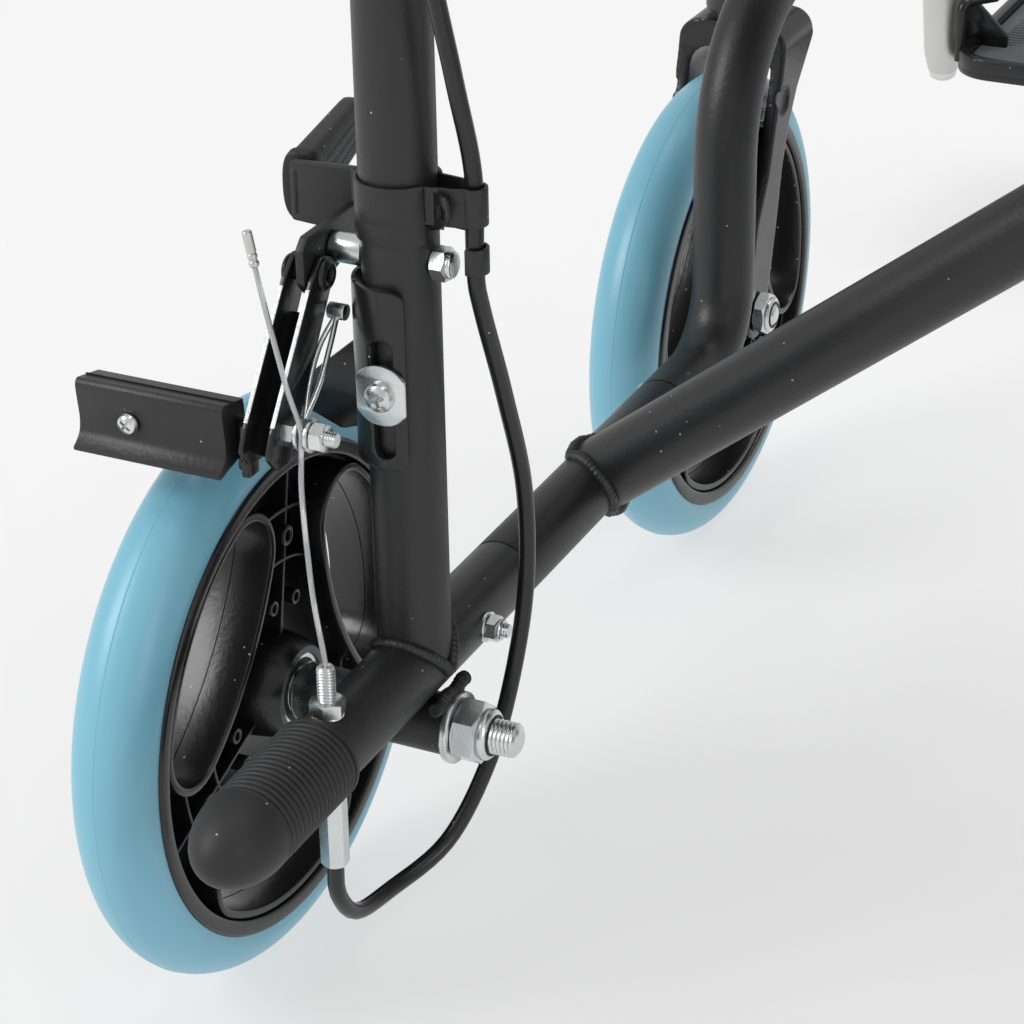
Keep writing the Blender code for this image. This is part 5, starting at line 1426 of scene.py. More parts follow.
# %% Band, loops and latch ear
def cable_clip():
    x, y = 0.190, 0.0
    band_r = TUBE_R + GAP + 0.0005
    low, high = 0.270, 0.289
    band = arc_points((RAIL_X, 0), band_r, -152, 152, 60)
    parts = [ribbon(band, 0.0011, low, high - 0.0004)]
    parts.append(
        ribbon(arc_points((RAIL_X, 0), band_r + 0.0006, 60, 150, 20), 0.0009, low + 0.0070, high - 0.0002)
    )
    loop_r = SHEATH_R + 0.0011
    start = (RAIL_X - band_r * math.cos(math.radians(28)), band_r * math.sin(math.radians(28)))
    rear = [start, (x + 0.0058, 0.0052), (x + 0.0022, loop_r + 0.0004)]
    rear += arc_points((x, y), loop_r, 75, 262, 20)
    curl = [(p.x, p.y) for p in smooth_route([(a, b, 0) for a, b in rear], 0.0007)]
    parts.append(ribbon(curl, 0.0011, 0.2765, 0.2885))
    front = [(RAIL_X - band_r * math.cos(math.radians(26)), -band_r * math.sin(math.radians(26)))]
    front += [(x + 0.0060, -0.0046), (x + 0.0024, -loop_r), (x + 0.0004, -loop_r - 0.0002)]
    parts.append(ribbon(front, 0.0011, 0.2720, 0.2885))
    hook = arc_points((x, y), loop_r, -80, -290, 24)
    parts.append(ribbon(hook, 0.0011, 0.2612, 0.2695))
    neck = [(x + 0.0046, -0.0030), (x + 0.0026, -loop_r + 0.0002), (x + 0.0004, -loop_r - 0.0001)]
    parts.append(ribbon(neck, 0.0011, 0.2612, 0.2790))
    ear = [
        (-0.0062, 0.2750), (-0.0040, 0.2742), (0.0012, 0.2762), (0.0050, 0.2790), (0.0062, 0.2832),
        (0.0044, 0.2872)
    ]
    ear += [
        (0.0010, 0.2884), (-0.0006, 0.2868), (-0.0022, 0.2880), (-0.0034, 0.2852), (-0.0054, 0.2858),
        (-0.0060, 0.2820)
    ]
    hole = rounded_outline(
        [(0.0012, 0.2796), (0.0034, 0.2806), (0.0030, 0.2842), (0.0008, 0.2838)], 0.0006, 4
    )
    flap = plate(ear, "y", -0.00055, 0.00055, 0.0002, [hole])
    turn = Matrix.Translation((0.1985, 0.0066, 0)) @ Matrix.Rotation(math.radians(148), 4, "Z")
    parts.append(shaped(flap, turn))
    for k in range(4):
        tooth = block((-0.0006, -0.0004, 0.2768 + 0.0022 * k), (0.0030, 0.0010, 0.2777 + 0.0022 * k), 0.0002)
        parts.append(shaped(tooth, turn @ Matrix.Translation((-0.0046 + 0.0007 * k, 0.0004, 0))))
    return [(mesh, "bracket_enamel" if number > 5 else "powder_coat") for number, mesh in enumerate(parts)]


both_sides("sheath_clip", cable_clip(), "frame", ["cable_clip"])

# %% [markdown]
# ## The brake's bracket
# A thick strip, enamelled black, wraps the post. A slot in its rear face lets the
# whole brake slide up or down when it is set to the tyre, and a screw with a
# two-flat washer clamps it. The strip is drawn flat with its slot, cut into narrow
# columns, and rolled round the post, as a press would form it.

# %% Bracket, washer, screw and ear
BRACKET_Z = (0.197, 0.2565)
BRACKET_WALL = 0.003
SCREW_Z = 0.2225
BRACKET_OUTER = TUBE_R + GAP + BRACKET_WALL


def cross_head(base, tip, radius, turn=0.4):
    """A pan head with a cross recess, standing from base towards tip."""
    height = (Vector(tip) - Vector(base)).length
    dome = [(0, 0), (radius, 0), (radius, height * 0.35), (radius * 0.86, height * 0.75)]
    dome += [(radius * 0.5, height * 0.97), (0, height)]
    head = turned(eased(dome, height * 0.12), (0, 0, 0), (0, 0, 1), 40)
    for angle in (turn, turn + math.pi / 2):
        wing = block(
            (-radius * 0.58, -radius * 0.13, height * 0.35), (radius * 0.58, radius * 0.13, height * 1.5),
            radius * 0.02
        )
        head = combined("DIFFERENCE", head, shaped(wing, Matrix.Rotation(angle, 4, "Z")))
    return shaped(head, onto_axis(base, tip))


def brake_bracket():
    radius = TUBE_R + GAP
    low, high = BRACKET_Z
    ends = [radius * math.radians(angle) for angle in (-92, 120)]
    middle = radius * math.radians(90)
    outline = rounded_outline([(ends[0], low), (ends[1], low), (ends[1], high), (ends[0], high)], 0.0042, 8)
    slot = rectangle((middle - 0.0030, 0.2010), (middle + 0.0030, 0.2400))
    wrap = wrapped_plate(
        outline, [rounded_outline(slot, 0.0029, 8)], (RAIL_X, 0), radius, BRACKET_WALL, 0.0006
    )
    ear = [(RAIL_X + 0.002, low + 0.006), (RAIL_X + 0.002, high - 0.026), (RAIL_X + 0.024, high - 0.031)]
    ear += [(RAIL_X + 0.0455, high - 0.050), (RAIL_X + 0.0455, low + 0.002), (RAIL_X + 0.030, low - 0.004)]
    flange = plate(rounded_outline(ear, 0.004, 6), "y", -BRACKET_OUTER, -radius, 0.0006)
    return [(wrap, "bracket_enamel"), (flange, "bracket_enamel")]


def bracket_screw():
    face = BRACKET_OUTER - 0.0004
    disc = []
    for k in range(64):
        angle = 2 * math.pi * k / 64
        disc.append(
            (RAIL_X + max(-0.0083, min(0.0083, 0.0100 * math.cos(angle))), SCREW_Z + 0.0100 * math.sin(angle))
        )
    washer = plate(disc, "y", face, face + 0.0014, 0.0004)
    head = cross_head((RAIL_X, face + 0.0012, SCREW_Z), (RAIL_X, face + 0.0046, SCREW_Z), 0.0049)
    return in_finish("zinc", washer, head, rod(*along_y(RAIL_X, SCREW_Z, 0, face + 0.002), 0.0025))


both_sides("slotted_bracket", brake_bracket(), "frame", ["brake_bracket"])
both_sides("bracket_screw", bracket_screw(), "frame")

# %% Pivot bolt
PIVOT_BOLT_Z = 0.262
LEVER_X = (0.238, 0.241)
RIVET_YZ = (0.011, 0.257)
RIVET_R = 0.003


def pivot_bolt():
    """The bolt through the post, with the bright spacer that the lever turns on."""
    z = PIVOT_BOLT_Z
    inner = RAIL_X - TUBE_R
    face = RAIL_X + TUBE_R
    spacer = collar((face - 0.0006, 0, z), (LEVER_X[0] - GAP, 0, z), RIVET_R, 0.0050, 0.0006)
    shank = rod(*along_x(0, z, inner - 0.001, LEVER_X[1] + 0.003), RIVET_R - 0.0001)
    nut = hex_nut(*along_x(0, z, inner + 0.0004, inner - 0.0046), 0.0095, 0.0016)
    parts = in_finish("zinc", spacer, shank, *nut)
    dome = [(0, 0), (0.0045, 0), (0.0043, 0.0012), (0.0028, 0.0026), (0, 0.0031)]
    head = turned(eased(dome, 0.0004), *along_x(0, z, LEVER_X[1] + GAP, LEVER_X[1] + 0.004), 36)
    parts.append((head, "bracket_enamel"))
    return parts


both_sides("lever_pivot_bolt", pivot_bolt(), "frame", ["brake_pivot_bolt"])

# %% [markdown]
# ## Lever, grip and brake arm
# Pulling the grip up turns a bent plate about the bright spacer. A hollow rivet
# passes the motion to a channel-shaped arm, whose foot carries the shoe and the
# pinch bolt for the wire. The grip is a lofted section with five shallow grooves;
# the plates are cut sheet, and a bright metal strip along each arm cheek is a painted highlight on its edge.

# %% Lever plate and tang
TANG_ROOT_X = 0.2615
TANG_LENGTH = 0.045
GRIP_SPLAY = math.radians(13.0)
GRIP_LENGTH = 0.062


def wheel_brake_lever():
    low, high = LEVER_X
    rivet_y, rivet_z = RIVET_YZ
    outline = [(-0.0175, 0.270), (-0.0175, 0.2545), (-0.004, 0.2545)]
    outline += [(rivet_y - 0.004, rivet_z - 0.0055), (rivet_y + 0.003, rivet_z - 0.0065)]
    outline += [(rivet_y + 0.0075, rivet_z - 0.0015), (rivet_y + 0.0075, 0.2665), (0.015, 0.270)]
    cheek = plate(rounded_outline(outline, 0.0022, 5), "x", low, high, 0.0005)
    flange = [(low, 0.2585), (TANG_ROOT_X + 0.0008, 0.2600), (TANG_ROOT_X + 0.0008, 0.2795), (low, 0.2805)]
    turn = Matrix.Translation((TANG_ROOT_X, -0.0185, 0)) @ Matrix.Rotation(GRIP_SPLAY, 4, "Z")
    tang = shaped(block((-0.003, -TANG_LENGTH, 0.2635), (0, 0.0010, 0.2755), 0.0006), turn)
    bend = rod((low + 0.0012, -0.0184, 0.2590), (low + 0.0012, -0.0184, 0.2800), 0.0019, 0.0005)
    far_bend = rod(
        (TANG_ROOT_X - 0.0010, -0.0186, 0.2622), (TANG_ROOT_X - 0.0010, -0.0186, 0.2770), 0.0019, 0.0005
    )
    front = plate(rounded_outline(flange, 0.0015, 4), "y", -0.0200, -0.0170, 0.0005)
    return [(mesh, "powder_coat") for mesh in (cheek, front, tang, bend, far_bend)]


both_sides("bent_lever_plate", wheel_brake_lever(), "wheel_lever", ["wheel_brake_lever"])


# %% Grooved grip
def grip_section(y, wide, tall, groove):
    """A rounded oblong across the grip, with grooves pressed into both broad sides."""
    middle = 0.2695
    section = []
    for k in range(120):
        angle = 2 * math.pi * (k + 0.5) / 120
        cosine, sine = math.cos(angle), math.sin(angle)
        x = wide * math.copysign(abs(cosine) ** 0.55, cosine)
        z = tall * math.copysign(abs(sine) ** 0.80, sine)
        wave = math.cos(z / (tall * 0.19) * math.pi)
        if abs(z) < tall * 0.55 and wave < 0:
            x -= math.copysign(groove * math.sqrt(-wave), x)
        section.append((x, y, middle + z))
    return section


def lever_grip():
    stops = [(0.0004, 0.0052, 0.0104, 0), (0.0, 0.0062, 0.0112, 0), (-0.0006, 0.0065, 0.0115, 0)]
    stops += [(-0.0034, 0.0065, 0.0115, 0), (-0.0042, 0.0058, 0.0108, 0), (-0.0050, 0.0056, 0.0107, 0)]
    for k in range(1, 15):
        share = k / 15
        y = -0.0050 - (GRIP_LENGTH - 0.009) * share
        stops.append((y, 0.0057 - 0.0012 * share, 0.0107 - 0.0020 * share, 0.00045 if k > 1 else 0.0002))
    for k in range(1, 8):
        angle = math.radians(90 * k / 8)
        y = -GRIP_LENGTH + 0.0045 - 0.0045 * math.sin(angle)
        size = 0.35 + 0.65 * math.cos(angle)
        stops.append((y, 0.0045 * size, 0.0086 * (0.45 + 0.55 * math.cos(angle)), 0))
    body = lofted([grip_section(*stop) for stop in stops])
    mouth = block((-0.0017, -TANG_LENGTH * 0.6, 0.2632), (0.0017, 0.01, 0.2758), 0.0003)
    recess = block((-0.0030, -0.0022, 0.2610), (0.0030, 0.01, 0.2780), 0.0008)
    body = combined("DIFFERENCE", body, mouth, recess)
    start = Vector((TANG_ROOT_X, -0.0185, 0))
    turn = Matrix.Rotation(GRIP_SPLAY, 4, "Z")
    shift = turn @ Vector((-0.0015, -0.0035, 0))
    return [(shaped(body, Matrix.Translation(start + shift) @ turn), "soft_rubber")]


both_sides("grooved_lever_grip", lever_grip(), "wheel_lever", ["brake_lever_grip"])

# %% Hollow rivet and channel arm
ARM_WALL = 0.0018
ARM_FOOT_YZ = (0.0400, 0.2150)
SHOE_X = (0.251, 0.303)


def brake_rivet():
    y, z = RIVET_YZ
    low, high = ARM_X[0] - GAP, ARM_X[1] + GAP
    parts = [collar((low - 0.001, y, z), (high + 0.001, y, z), 0.0017, RIVET_R - 0.0001)]
    for start, way in ((low, -1), (high, 1)):
        lip = [(0.0019, 0), (0.0052, 0), (0.0046, 0.0012), (0.0034, 0.0018), (0.0024, 0.0014)]
        parts.append(turned(eased(lip, 0.0003, closed=True), (start, y, z), (start + way, y, z), 36))
    return [(mesh, "bracket_enamel") for mesh in parts]


def side_shape(points):
    return [(p.x, p.y) for p in points]


def brake_arm():
    low, high = ARM_X
    rivet = Vector(RIVET_YZ)
    foot = Vector(ARM_FOOT_YZ)
    along = (foot - rivet).normalized()
    front = Vector((along.y, -along.x))
    cheek = [rivet - along * 0.0062 + front * 0.0030, rivet - along * 0.0030 + front * 0.0060]
    cheek += [foot + along * 0.006 + front * 0.0075, foot + along * 0.010 + front * 0.001]
    cheek += [
        foot + along * 0.008 - front * 0.0062, foot - front * 0.0075, rivet + along * 0.004 - front * 0.0062
    ]
    cheek += [rivet - along * 0.0050 - front * 0.0040]
    outline = rounded_outline(side_shape(cheek), 0.0030, 6)
    parts = []
    for start in (low, high - ARM_WALL):
        parts.append((plate(outline, "x", start, start + ARM_WALL, 0.0004), "bracket_enamel"))
    web = [rivet + along * 0.012 + front * 0.0064, foot + along * 0.006 + front * 0.0075]
    web += [foot + along * 0.006 + front * 0.0058, rivet + along * 0.012 + front * 0.0047]
    parts.append((plate(side_shape(web), "x", low + 0.0004, high - 0.0004, 0.0003), "bracket_enamel"))
    # Painted highlight: a bright metal strip along each cheek's rear edge stands for the light on the enamelled
    # edge.
    for start in (low, high - ARM_WALL):
        edge = [rivet + along * 0.0065 - front * 0.0062, foot - along * 0.0016 - front * 0.0073]
        edge += [foot - along * 0.0016 - front * 0.0077, rivet + along * 0.0065 - front * 0.0066]
        parts.append(
            (plate(side_shape(edge), "x", start + 0.0002, start + ARM_WALL - 0.0002, 0.0001), "painted_edge_highlight")
        )
    lug = [
        (high - 0.0015, foot.x - 0.0010), (SHOE_X[0] + 0.0004, foot.x - 0.0010),
        (SHOE_X[0] + 0.0004, foot.x + 0.0012)
    ]
    lug += [
        (high + 0.0030, foot.x + 0.0020), (high + 0.0012, foot.x + 0.0058), (high - 0.0015, foot.x + 0.0052)
    ]
    tongue = plate(rounded_outline(lug, 0.0012, 5), "z", foot.y - 0.013, foot.y + 0.004, 0.0005)
    parts.append((tongue, "bracket_enamel"))
    return parts


def pinch_bolt():
    y, z = PINCH_YZ
    x = ARM_X[0]
    parts = [(mesh, "zinc") for mesh in hex_nut((x + 0.0002, y, z), (x - 0.0044, y, z), 0.0082, turn=0.2)]
    for start in (0.0046, 0.0080):
        parts.append((collar((x - start, y, z), (x - start - 0.0012, y, z), 0.0025, 0.0053), "zinc"))
    parts += [(mesh, "zinc") for mesh in hex_nut((x - 0.0093, y, z), (x - 0.0137, y, z), 0.0082, turn=0.5)]
    parts.append((rod((x + 0.003, y, z), (x - 0.013, y, z), 0.0023), "zinc"))
    parts.append((thread((x - 0.0134, y, z), (x - 0.0172, y, z), 0.0025, 0.0008), "zinc"))
    return parts


both_sides("hollow_rivet", brake_rivet(), "arm_rivet", ["brake_rivet"])
both_sides("channel_arm", brake_arm() + pinch_bolt(), "brake_arm", ["brake_arm"])


# %% Shoe and its screw
def brake_shoe():
    low, high = SHOE_X
    rear = [
        (0.0475, 0.2262), (0.0490, 0.2246), (0.0487, 0.2190), (0.0481, 0.2130), (0.0488, 0.2085),
        (0.0512, 0.2058)
    ]
    rear += [(0.0527, 0.2048), (0.0528, 0.2038), (0.0518, 0.2031)]
    face = [(p.x, p.y) for p in smooth_route([(a, b, 0) for a, b in rear], 0.0008)]
    outline = [
        (0.0362, 0.2238), *face, (0.0500, 0.2034), (0.0480, 0.2040), (0.0380, 0.2062), (0.0345, 0.2090)
    ]
    parts = [(plate(outline, "x", low, high, 0.0005), "powder_coat")]
    seam = [(0.0405, 0.2240), (0.0430, 0.2252), (0.0430, 0.2258), (0.0405, 0.2246)]
    parts.append((plate(seam, "x", low + 0.0003, high - 0.0003, 0.0001), "soft_rubber"))
    head = cross_head((0.2845, 0.0486, 0.2145), (0.2845, 0.0512, 0.2145), 0.0035, 0.9)
    parts.append((head, "zinc"))
    return parts


both_sides("pressed_shoe", brake_shoe(), "brake_arm", ["brake_shoe"])


# %% Pull spring between bracket and arm
def pull_spring():
    """The two bright legs of the spring that lifts the shoe off the tyre."""
    x = ARM_X[0]
    y, z = PINCH_YZ
    parts = []
    for shift in (0.0, 0.0034):
        legs = [(x - 0.0060, y - 0.001, z + 0.0045), (x - 0.0052 + shift, y - 0.012, z + 0.011)]
        legs += [(x - 0.0036 + shift, y - 0.022, z + 0.019), (x - 0.0020, y - 0.031, z + 0.027)]
        parts.append((sweep(smooth_route(legs, 0.001), 0.0009, 14), "zinc"))
    eye = (x - 0.0020, y - 0.031, z + 0.027)
    parts.append((rod((eye[0] - 0.003, eye[1], eye[2]), (eye[0] + 0.003, eye[1], eye[2]), 0.0026), "zinc"))
    return parts


both_sides("pull_spring", pull_spring(), "brake_arm")
print("brake arm triangles:", counts["channel_arm_left"])

# %% [markdown]
# ## The X brace
# Two 27 mm legs cross under the seat and turn on one bolt. Each ends in a sleeve
# round the inner tube of its lower rail and carries a seat rail at its upper end.
# The joint of leg and sleeve has a heavy, uneven weld; its bead follows the curve
# where two cylinders of different sizes meet at an angle.

# %% Brace legs
BRACE_R = 0.0135
BRACE_Y = -0.141
BRACE_PITCH = 0.0285
CROSS_Z = (RAIL_Z + SEAT_RAIL_Z) / 2
SEAT_RAIL_ENDS = (-0.022, -0.368)
RAIL_FOOT_YS = (-0.075, -0.325)
RAIL_FOOT_REACH = (0.010, 0.002)


def leg_weld(foot, direction, main_r):
    """Where the leg's skin meets a tube that lies along Y through the foot."""
    across = Vector((direction.z, 0, -direction.x))
    side = Vector((0, 1, 0))
    points = []
    for k in range(90):
        angle = 2 * math.pi * k / 90
        skin = across * (BRACE_R * math.cos(angle)) + side * (BRACE_R * math.sin(angle))
        b = direction.x * skin.x + direction.z * skin.z
        c = skin.x**2 + skin.z**2 - main_r**2
        root = b * b - c
        reach = -b + math.sqrt(root) if root > 0 else 0.002 - b
        points.append(foot + skin + direction * max(reach, 0.001))
    return points


def rail_feet(side):
    """The two feet that the seat rail stands on when the chair is open."""
    low = SUPPORT_Z + SUPPORT_R + GAP
    inner, outer = sorted(side * (RAIL_X - reach) for reach in RAIL_FOOT_REACH)
    feet = [
        block((inner, y - 0.012, low), (outer, y + 0.012, SEAT_RAIL_Z - 0.004), 0.0010) for y in RAIL_FOOT_YS
    ]
    return [(foot, "powder_coat") for foot in feet]


def brace_leg(side, y):
    foot = Vector((side * RAIL_X, y, RAIL_Z))
    head = Vector((-side * RAIL_X, y, SEAT_RAIL_Z))
    direction = (head - foot).normalized()
    sleeve = collar(
        (foot.x, SLEEVE_REAR_Y - 0.0005, RAIL_Z), (foot.x, SLEEVE_FRONT_Y + 0.0005, RAIL_Z), 0.0108, TUBE_R,
        0.0006, 64
    )
    rail = rod(
        (head.x, SEAT_RAIL_ENDS[0], SEAT_RAIL_Z), (head.x, SEAT_RAIL_ENDS[1], SEAT_RAIL_Z), SEAT_RAIL_R,
        0.0012, 48
    )
    parts = in_finish("powder_coat", rod(foot, head, BRACE_R, sides=64), sleeve, rail)
    parts.append(weld(leg_weld(foot, direction, TUBE_R), 0.0024))
    parts.append(weld(leg_weld(head, -direction, SEAT_RAIL_R), 0.0020))
    parts += rail_feet(-side)
    for end, way in ((SEAT_RAIL_ENDS[0], 1), (SEAT_RAIL_ENDS[1], -1)):
        plug = rod(*along_y(head.x, SEAT_RAIL_Z, end - way * 0.002, end + way * 0.0006), 0.0106)
        parts.append((plug, "soft_rubber"))
    return parts


def cross_bolt():
    y = BRACE_Y - BRACE_PITCH
    rear, front = BRACE_Y + BRACE_R, y - BRACE_R
    z = CROSS_Z
    parts = [(rod((0, front - 0.002, z), (0, rear + 0.009, z), 0.004), "zinc")]
    parts += [(mesh, "zinc") for mesh in hex_nut((0, rear - 0.0004, z), (0, rear + 0.0058, z), 0.013, 0.0022)]
    parts.append((thread((0, rear + 0.006, z), (0, rear + 0.0108, z), 0.004, 0.00125), "zinc"))
    parts += [(mesh, "zinc") for mesh in hex_nut((0, front + 0.001, z), (0, front - 0.005, z), 0.013)]
    parts.append((rod((0, y + BRACE_R - 0.002, z), (0, BRACE_Y - BRACE_R + 0.001, z), 0.009, 0.0006), "zinc"))
    return parts


assemble("brace_leg_a", brace_leg(1, BRACE_Y), "brace_a", ["cross_brace_a"])
assemble(
    "brace_leg_b", brace_leg(-1, BRACE_Y - BRACE_PITCH) + cross_bolt(), "brace_b", ["cross_brace_b"],
)

# %% [markdown]
# ## Push handles and hand brakes
# The person who pushes the chair holds ribbed rubber grips and can squeeze a lever
# under each one. The photograph doesn't show them, so they follow what such chairs
# carry: a turned grip with rings, a clamp with two cheeks and a lever with an easy
# curve that fits the fingers.

# %% Grip with rings
GRIP_R = 0.0155
GRIP_FLANGE_R = 0.0185
GRIP_START_Y = 0.124
GRIP_END_Y = HANDLE_END_Y + 0.006
BRACKET_Y = 0.1115
LEVER_HALF = 0.006


def push_grip():
    length = GRIP_END_Y - GRIP_START_Y
    profile = [(TUBE_R + 0.0002, 0), (GRIP_FLANGE_R, 0), (GRIP_FLANGE_R, 0.004), (GRIP_R, 0.0075)]
    profile += [(GRIP_R - 0.0008, 0.012), (GRIP_R - 0.0008, length - 0.014), (GRIP_R, length - 0.009)]
    profile += [(GRIP_R, length - 0.0035), (GRIP_R - 0.004, length), (0, length)]
    profile += [(0, HANDLE_END_Y - GRIP_START_Y), (TUBE_R + 0.0002, HANDLE_END_Y - GRIP_START_Y)]
    skin = eased(profile[:10], 0.0011) + profile[10:]
    shell = turned(skin, (RAIL_X, GRIP_START_Y, HANDLE_Z), (RAIL_X, GRIP_END_Y, HANDLE_Z), 64)
    line = line_mesh([(RAIL_X, GRIP_START_Y + 0.014, HANDLE_Z), (RAIL_X, GRIP_END_Y - 0.016, HANDLE_Z)])
    return [
        (shell, "soft_rubber"),
        grown(RINGS, line, "soft_rubber", Rings=20, Ring=GRIP_R - 0.0011, Bead=0.0010)
    ]


both_sides("ribbed_push_grip", push_grip(), "frame", ["push_grip"])


# %% Clamp and lever of the hand brake
def hand_brake_clamp():
    y = BRACKET_Y
    pivot_y, pivot_z = LEVER_PIVOT
    clamp = collar(
        (RAIL_X, y - 0.007, HANDLE_Z), (RAIL_X, y + 0.007, HANDLE_Z), TUBE_R + GAP, TUBE_R + 0.0035, 0.0006,
        56
    )
    cheek = [(pivot_y - 0.020, pivot_z - 0.007), (pivot_y + 0.008, pivot_z - 0.007)]
    cheek += [(pivot_y + 0.008, pivot_z + 0.017), (pivot_y - 0.010, pivot_z + 0.017)]
    cheek = rounded_outline(cheek, 0.005, 8)
    parts = [clamp]
    for side in (-1, 1):
        inner = RAIL_X + side * (LEVER_HALF + 0.0005)
        low, high = sorted((inner, inner + side * 0.0025))
        parts.append(plate(cheek, "x", low, high, 0.0006))
    stop_y = pivot_y - 0.017
    stop_corner = (RAIL_X - 0.008, stop_y - 0.003, pivot_z - 0.006)
    parts.append(block(stop_corner, (RAIL_X + 0.008, stop_y, pivot_z + 0.008), 0.0008))
    made = [(mesh, "bracket_enamel") for mesh in parts]
    reach = LEVER_HALF + 0.004
    pin = rod(*along_x(pivot_y, pivot_z, RAIL_X - reach, RAIL_X + reach), 0.0025, 0.0006)
    made.append((pin, "zinc"))
    screw = (RAIL_X, y, HANDLE_Z - TUBE_R - 0.0028)
    made += [(mesh, "zinc") for mesh in hex_nut(screw, (screw[0], y, screw[2] - 0.003), 0.007)]
    ferrule = rod(*along_y(RAIL_X, pivot_z - 0.001, stop_y - 0.0075, stop_y), 0.0042, 0.0008)
    made.append((ferrule, "zinc"))
    return made


def hand_brake_lever():
    pivot_y, pivot_z = LEVER_PIVOT
    upper = [
        (-0.012, 0.002), (-0.002, 0.006), (0.010, 0.002), (0.030, -0.010), (0.070, -0.017), (0.103, -0.0173)
    ]
    lower = [(0.1072, -0.0190), (0.1075, -0.0225), (0.104, -0.0247), (0.068, -0.024), (0.026, -0.017)]
    lower += [(0.006, -0.006), (-0.010, -0.004)]
    route = [(a, b, 0) for a, b in upper + lower]
    skin = [(pivot_y + p.x, pivot_z + p.y) for p in smooth_route(route, 0.0015)]
    blade = plate(skin, "x", RAIL_X - LEVER_HALF, RAIL_X + LEVER_HALF, 0.0016)
    hole = rod((RAIL_X - 0.02, pivot_y, pivot_z), (RAIL_X + 0.02, pivot_y, pivot_z), 0.003)
    return [(combined("DIFFERENCE", blade, hole), "wheel_plastic")]


both_sides("hand_brake_clamp", hand_brake_clamp(), "frame", ["hand_brake_bracket"])
both_sides("squeeze_lever", hand_brake_lever(), "hand_lever", ["hand_brake_lever"])

# %% [markdown]
# The footrests hang in the sockets of the front uprights and swing outward. A bent
# tube carries a bright sliding tube, narrowed at its foot and closed by a plug, and a
# tray with a raised border and a grey ribbed tread turns on a pin through that tube.
# The photograph shows the back of the bright tube bare down to its foot, with a slim
# black stop beside it, so the tray's eye stands in front of the tube.

# %% Sizes of the footrest
SHIN_X = 0.263
SHIN_FOOT = (-0.690, 0.090)
SHIN_LEAN = math.radians(12.0)
SHIN_R = 0.0095
SHIN_TOP_Z = 0.330
HANGER_FOOT_Z = 0.245
PLATE_PIVOT_Z = 0.130
PLATE_X = (0.086, 0.2515)
PLATE_Y = (-0.800, -0.660)
PLATE_Z = (0.1005, 0.112)
HINGE_GAP = 0.0032
HINGE_WALL = 0.004


def shin_point(z):
    return Vector((SHIN_X, SHIN_FOOT[0] + (z - SHIN_FOOT[1]) * math.tan(SHIN_LEAN), z))


def inset(outline, distance):
    """A closed outline drawn in by a distance."""
    way = distance if twice_area(outline) > 0 else -distance
    made = []
    for before, here, after in zip(outline[-1:] + outline[:-1], outline, outline[1:] + outline[:1]):
        along = Vector((after[0] - before[0], after[1] - before[1])).normalized() * way
        made.append((here[0] - along.y, here[1] + along.x))
    return made


# %% Hanger and bright tube
def footrest_hanger():
    foot, top = shin_point(HANGER_FOOT_Z), shin_point(SHIN_TOP_Z)
    lean = (top - foot).normalized()
    corners = [(RAIL_X, HANGER_Y, 0.3505), (RAIL_X, HANGER_Y, 0.500), shin_point(0.474), foot]
    pin_hole = rod((RAIL_X, HANGER_Y, 0.34), (RAIL_X, HANGER_Y, 0.377), 0.0065)
    bore = rod(foot - lean * 0.02, top, SHIN_R + GAP)
    parts = [(combined("DIFFERENCE", bent_tube(corners, HANGER_R, 0.040), pin_hole, bore), "powder_coat")]
    sleeve_ends = (foot + lean * 0.001, foot + lean * 0.019)
    sleeve = collar(*sleeve_ends, HANGER_R + 0.0002, HANGER_R + 0.0022, 0.0006)
    parts.append((sleeve, "soft_rubber"))
    screw = foot + lean * 0.010 + Vector((HANGER_R + 0.0020, 0, 0))
    parts += [(mesh, "zinc") for mesh in hex_nut(screw, screw + Vector((0.0036, 0, 0)), 0.0085)]
    return parts


def footrest_tube():
    foot, top = Vector((SHIN_X, *SHIN_FOOT)), shin_point(SHIN_TOP_Z - 0.002)
    length = (top - foot).length
    bare = [
        (0, 0.0050), (0.0077, 0.0050), (0.0081, 0.0066), (0.0088, 0.0105), (0.0093, 0.0140),
        (SHIN_R, 0.0185)
    ]
    plug = [(0, 0), (0.0054, 0), (0.0068, 0.0012), (0.0071, 0.0026), (0.0072, 0.0056), (0, 0.0056)]
    parts = [(turned(bare + [(SHIN_R, length), (0, length)], foot, top, 56), "satin_alloy")]
    parts.append((turned(plug, foot, top, 48), "zinc"))
    y = shin_point(PLATE_PIVOT_Z).y
    front = y - SHIN_R - HINGE_GAP - HINGE_WALL - 0.003
    parts.append((rod((SHIN_X, front, PLATE_PIVOT_Z), (SHIN_X, y, PLATE_PIVOT_Z), 0.004, 0.0008), "zinc"))
    return parts


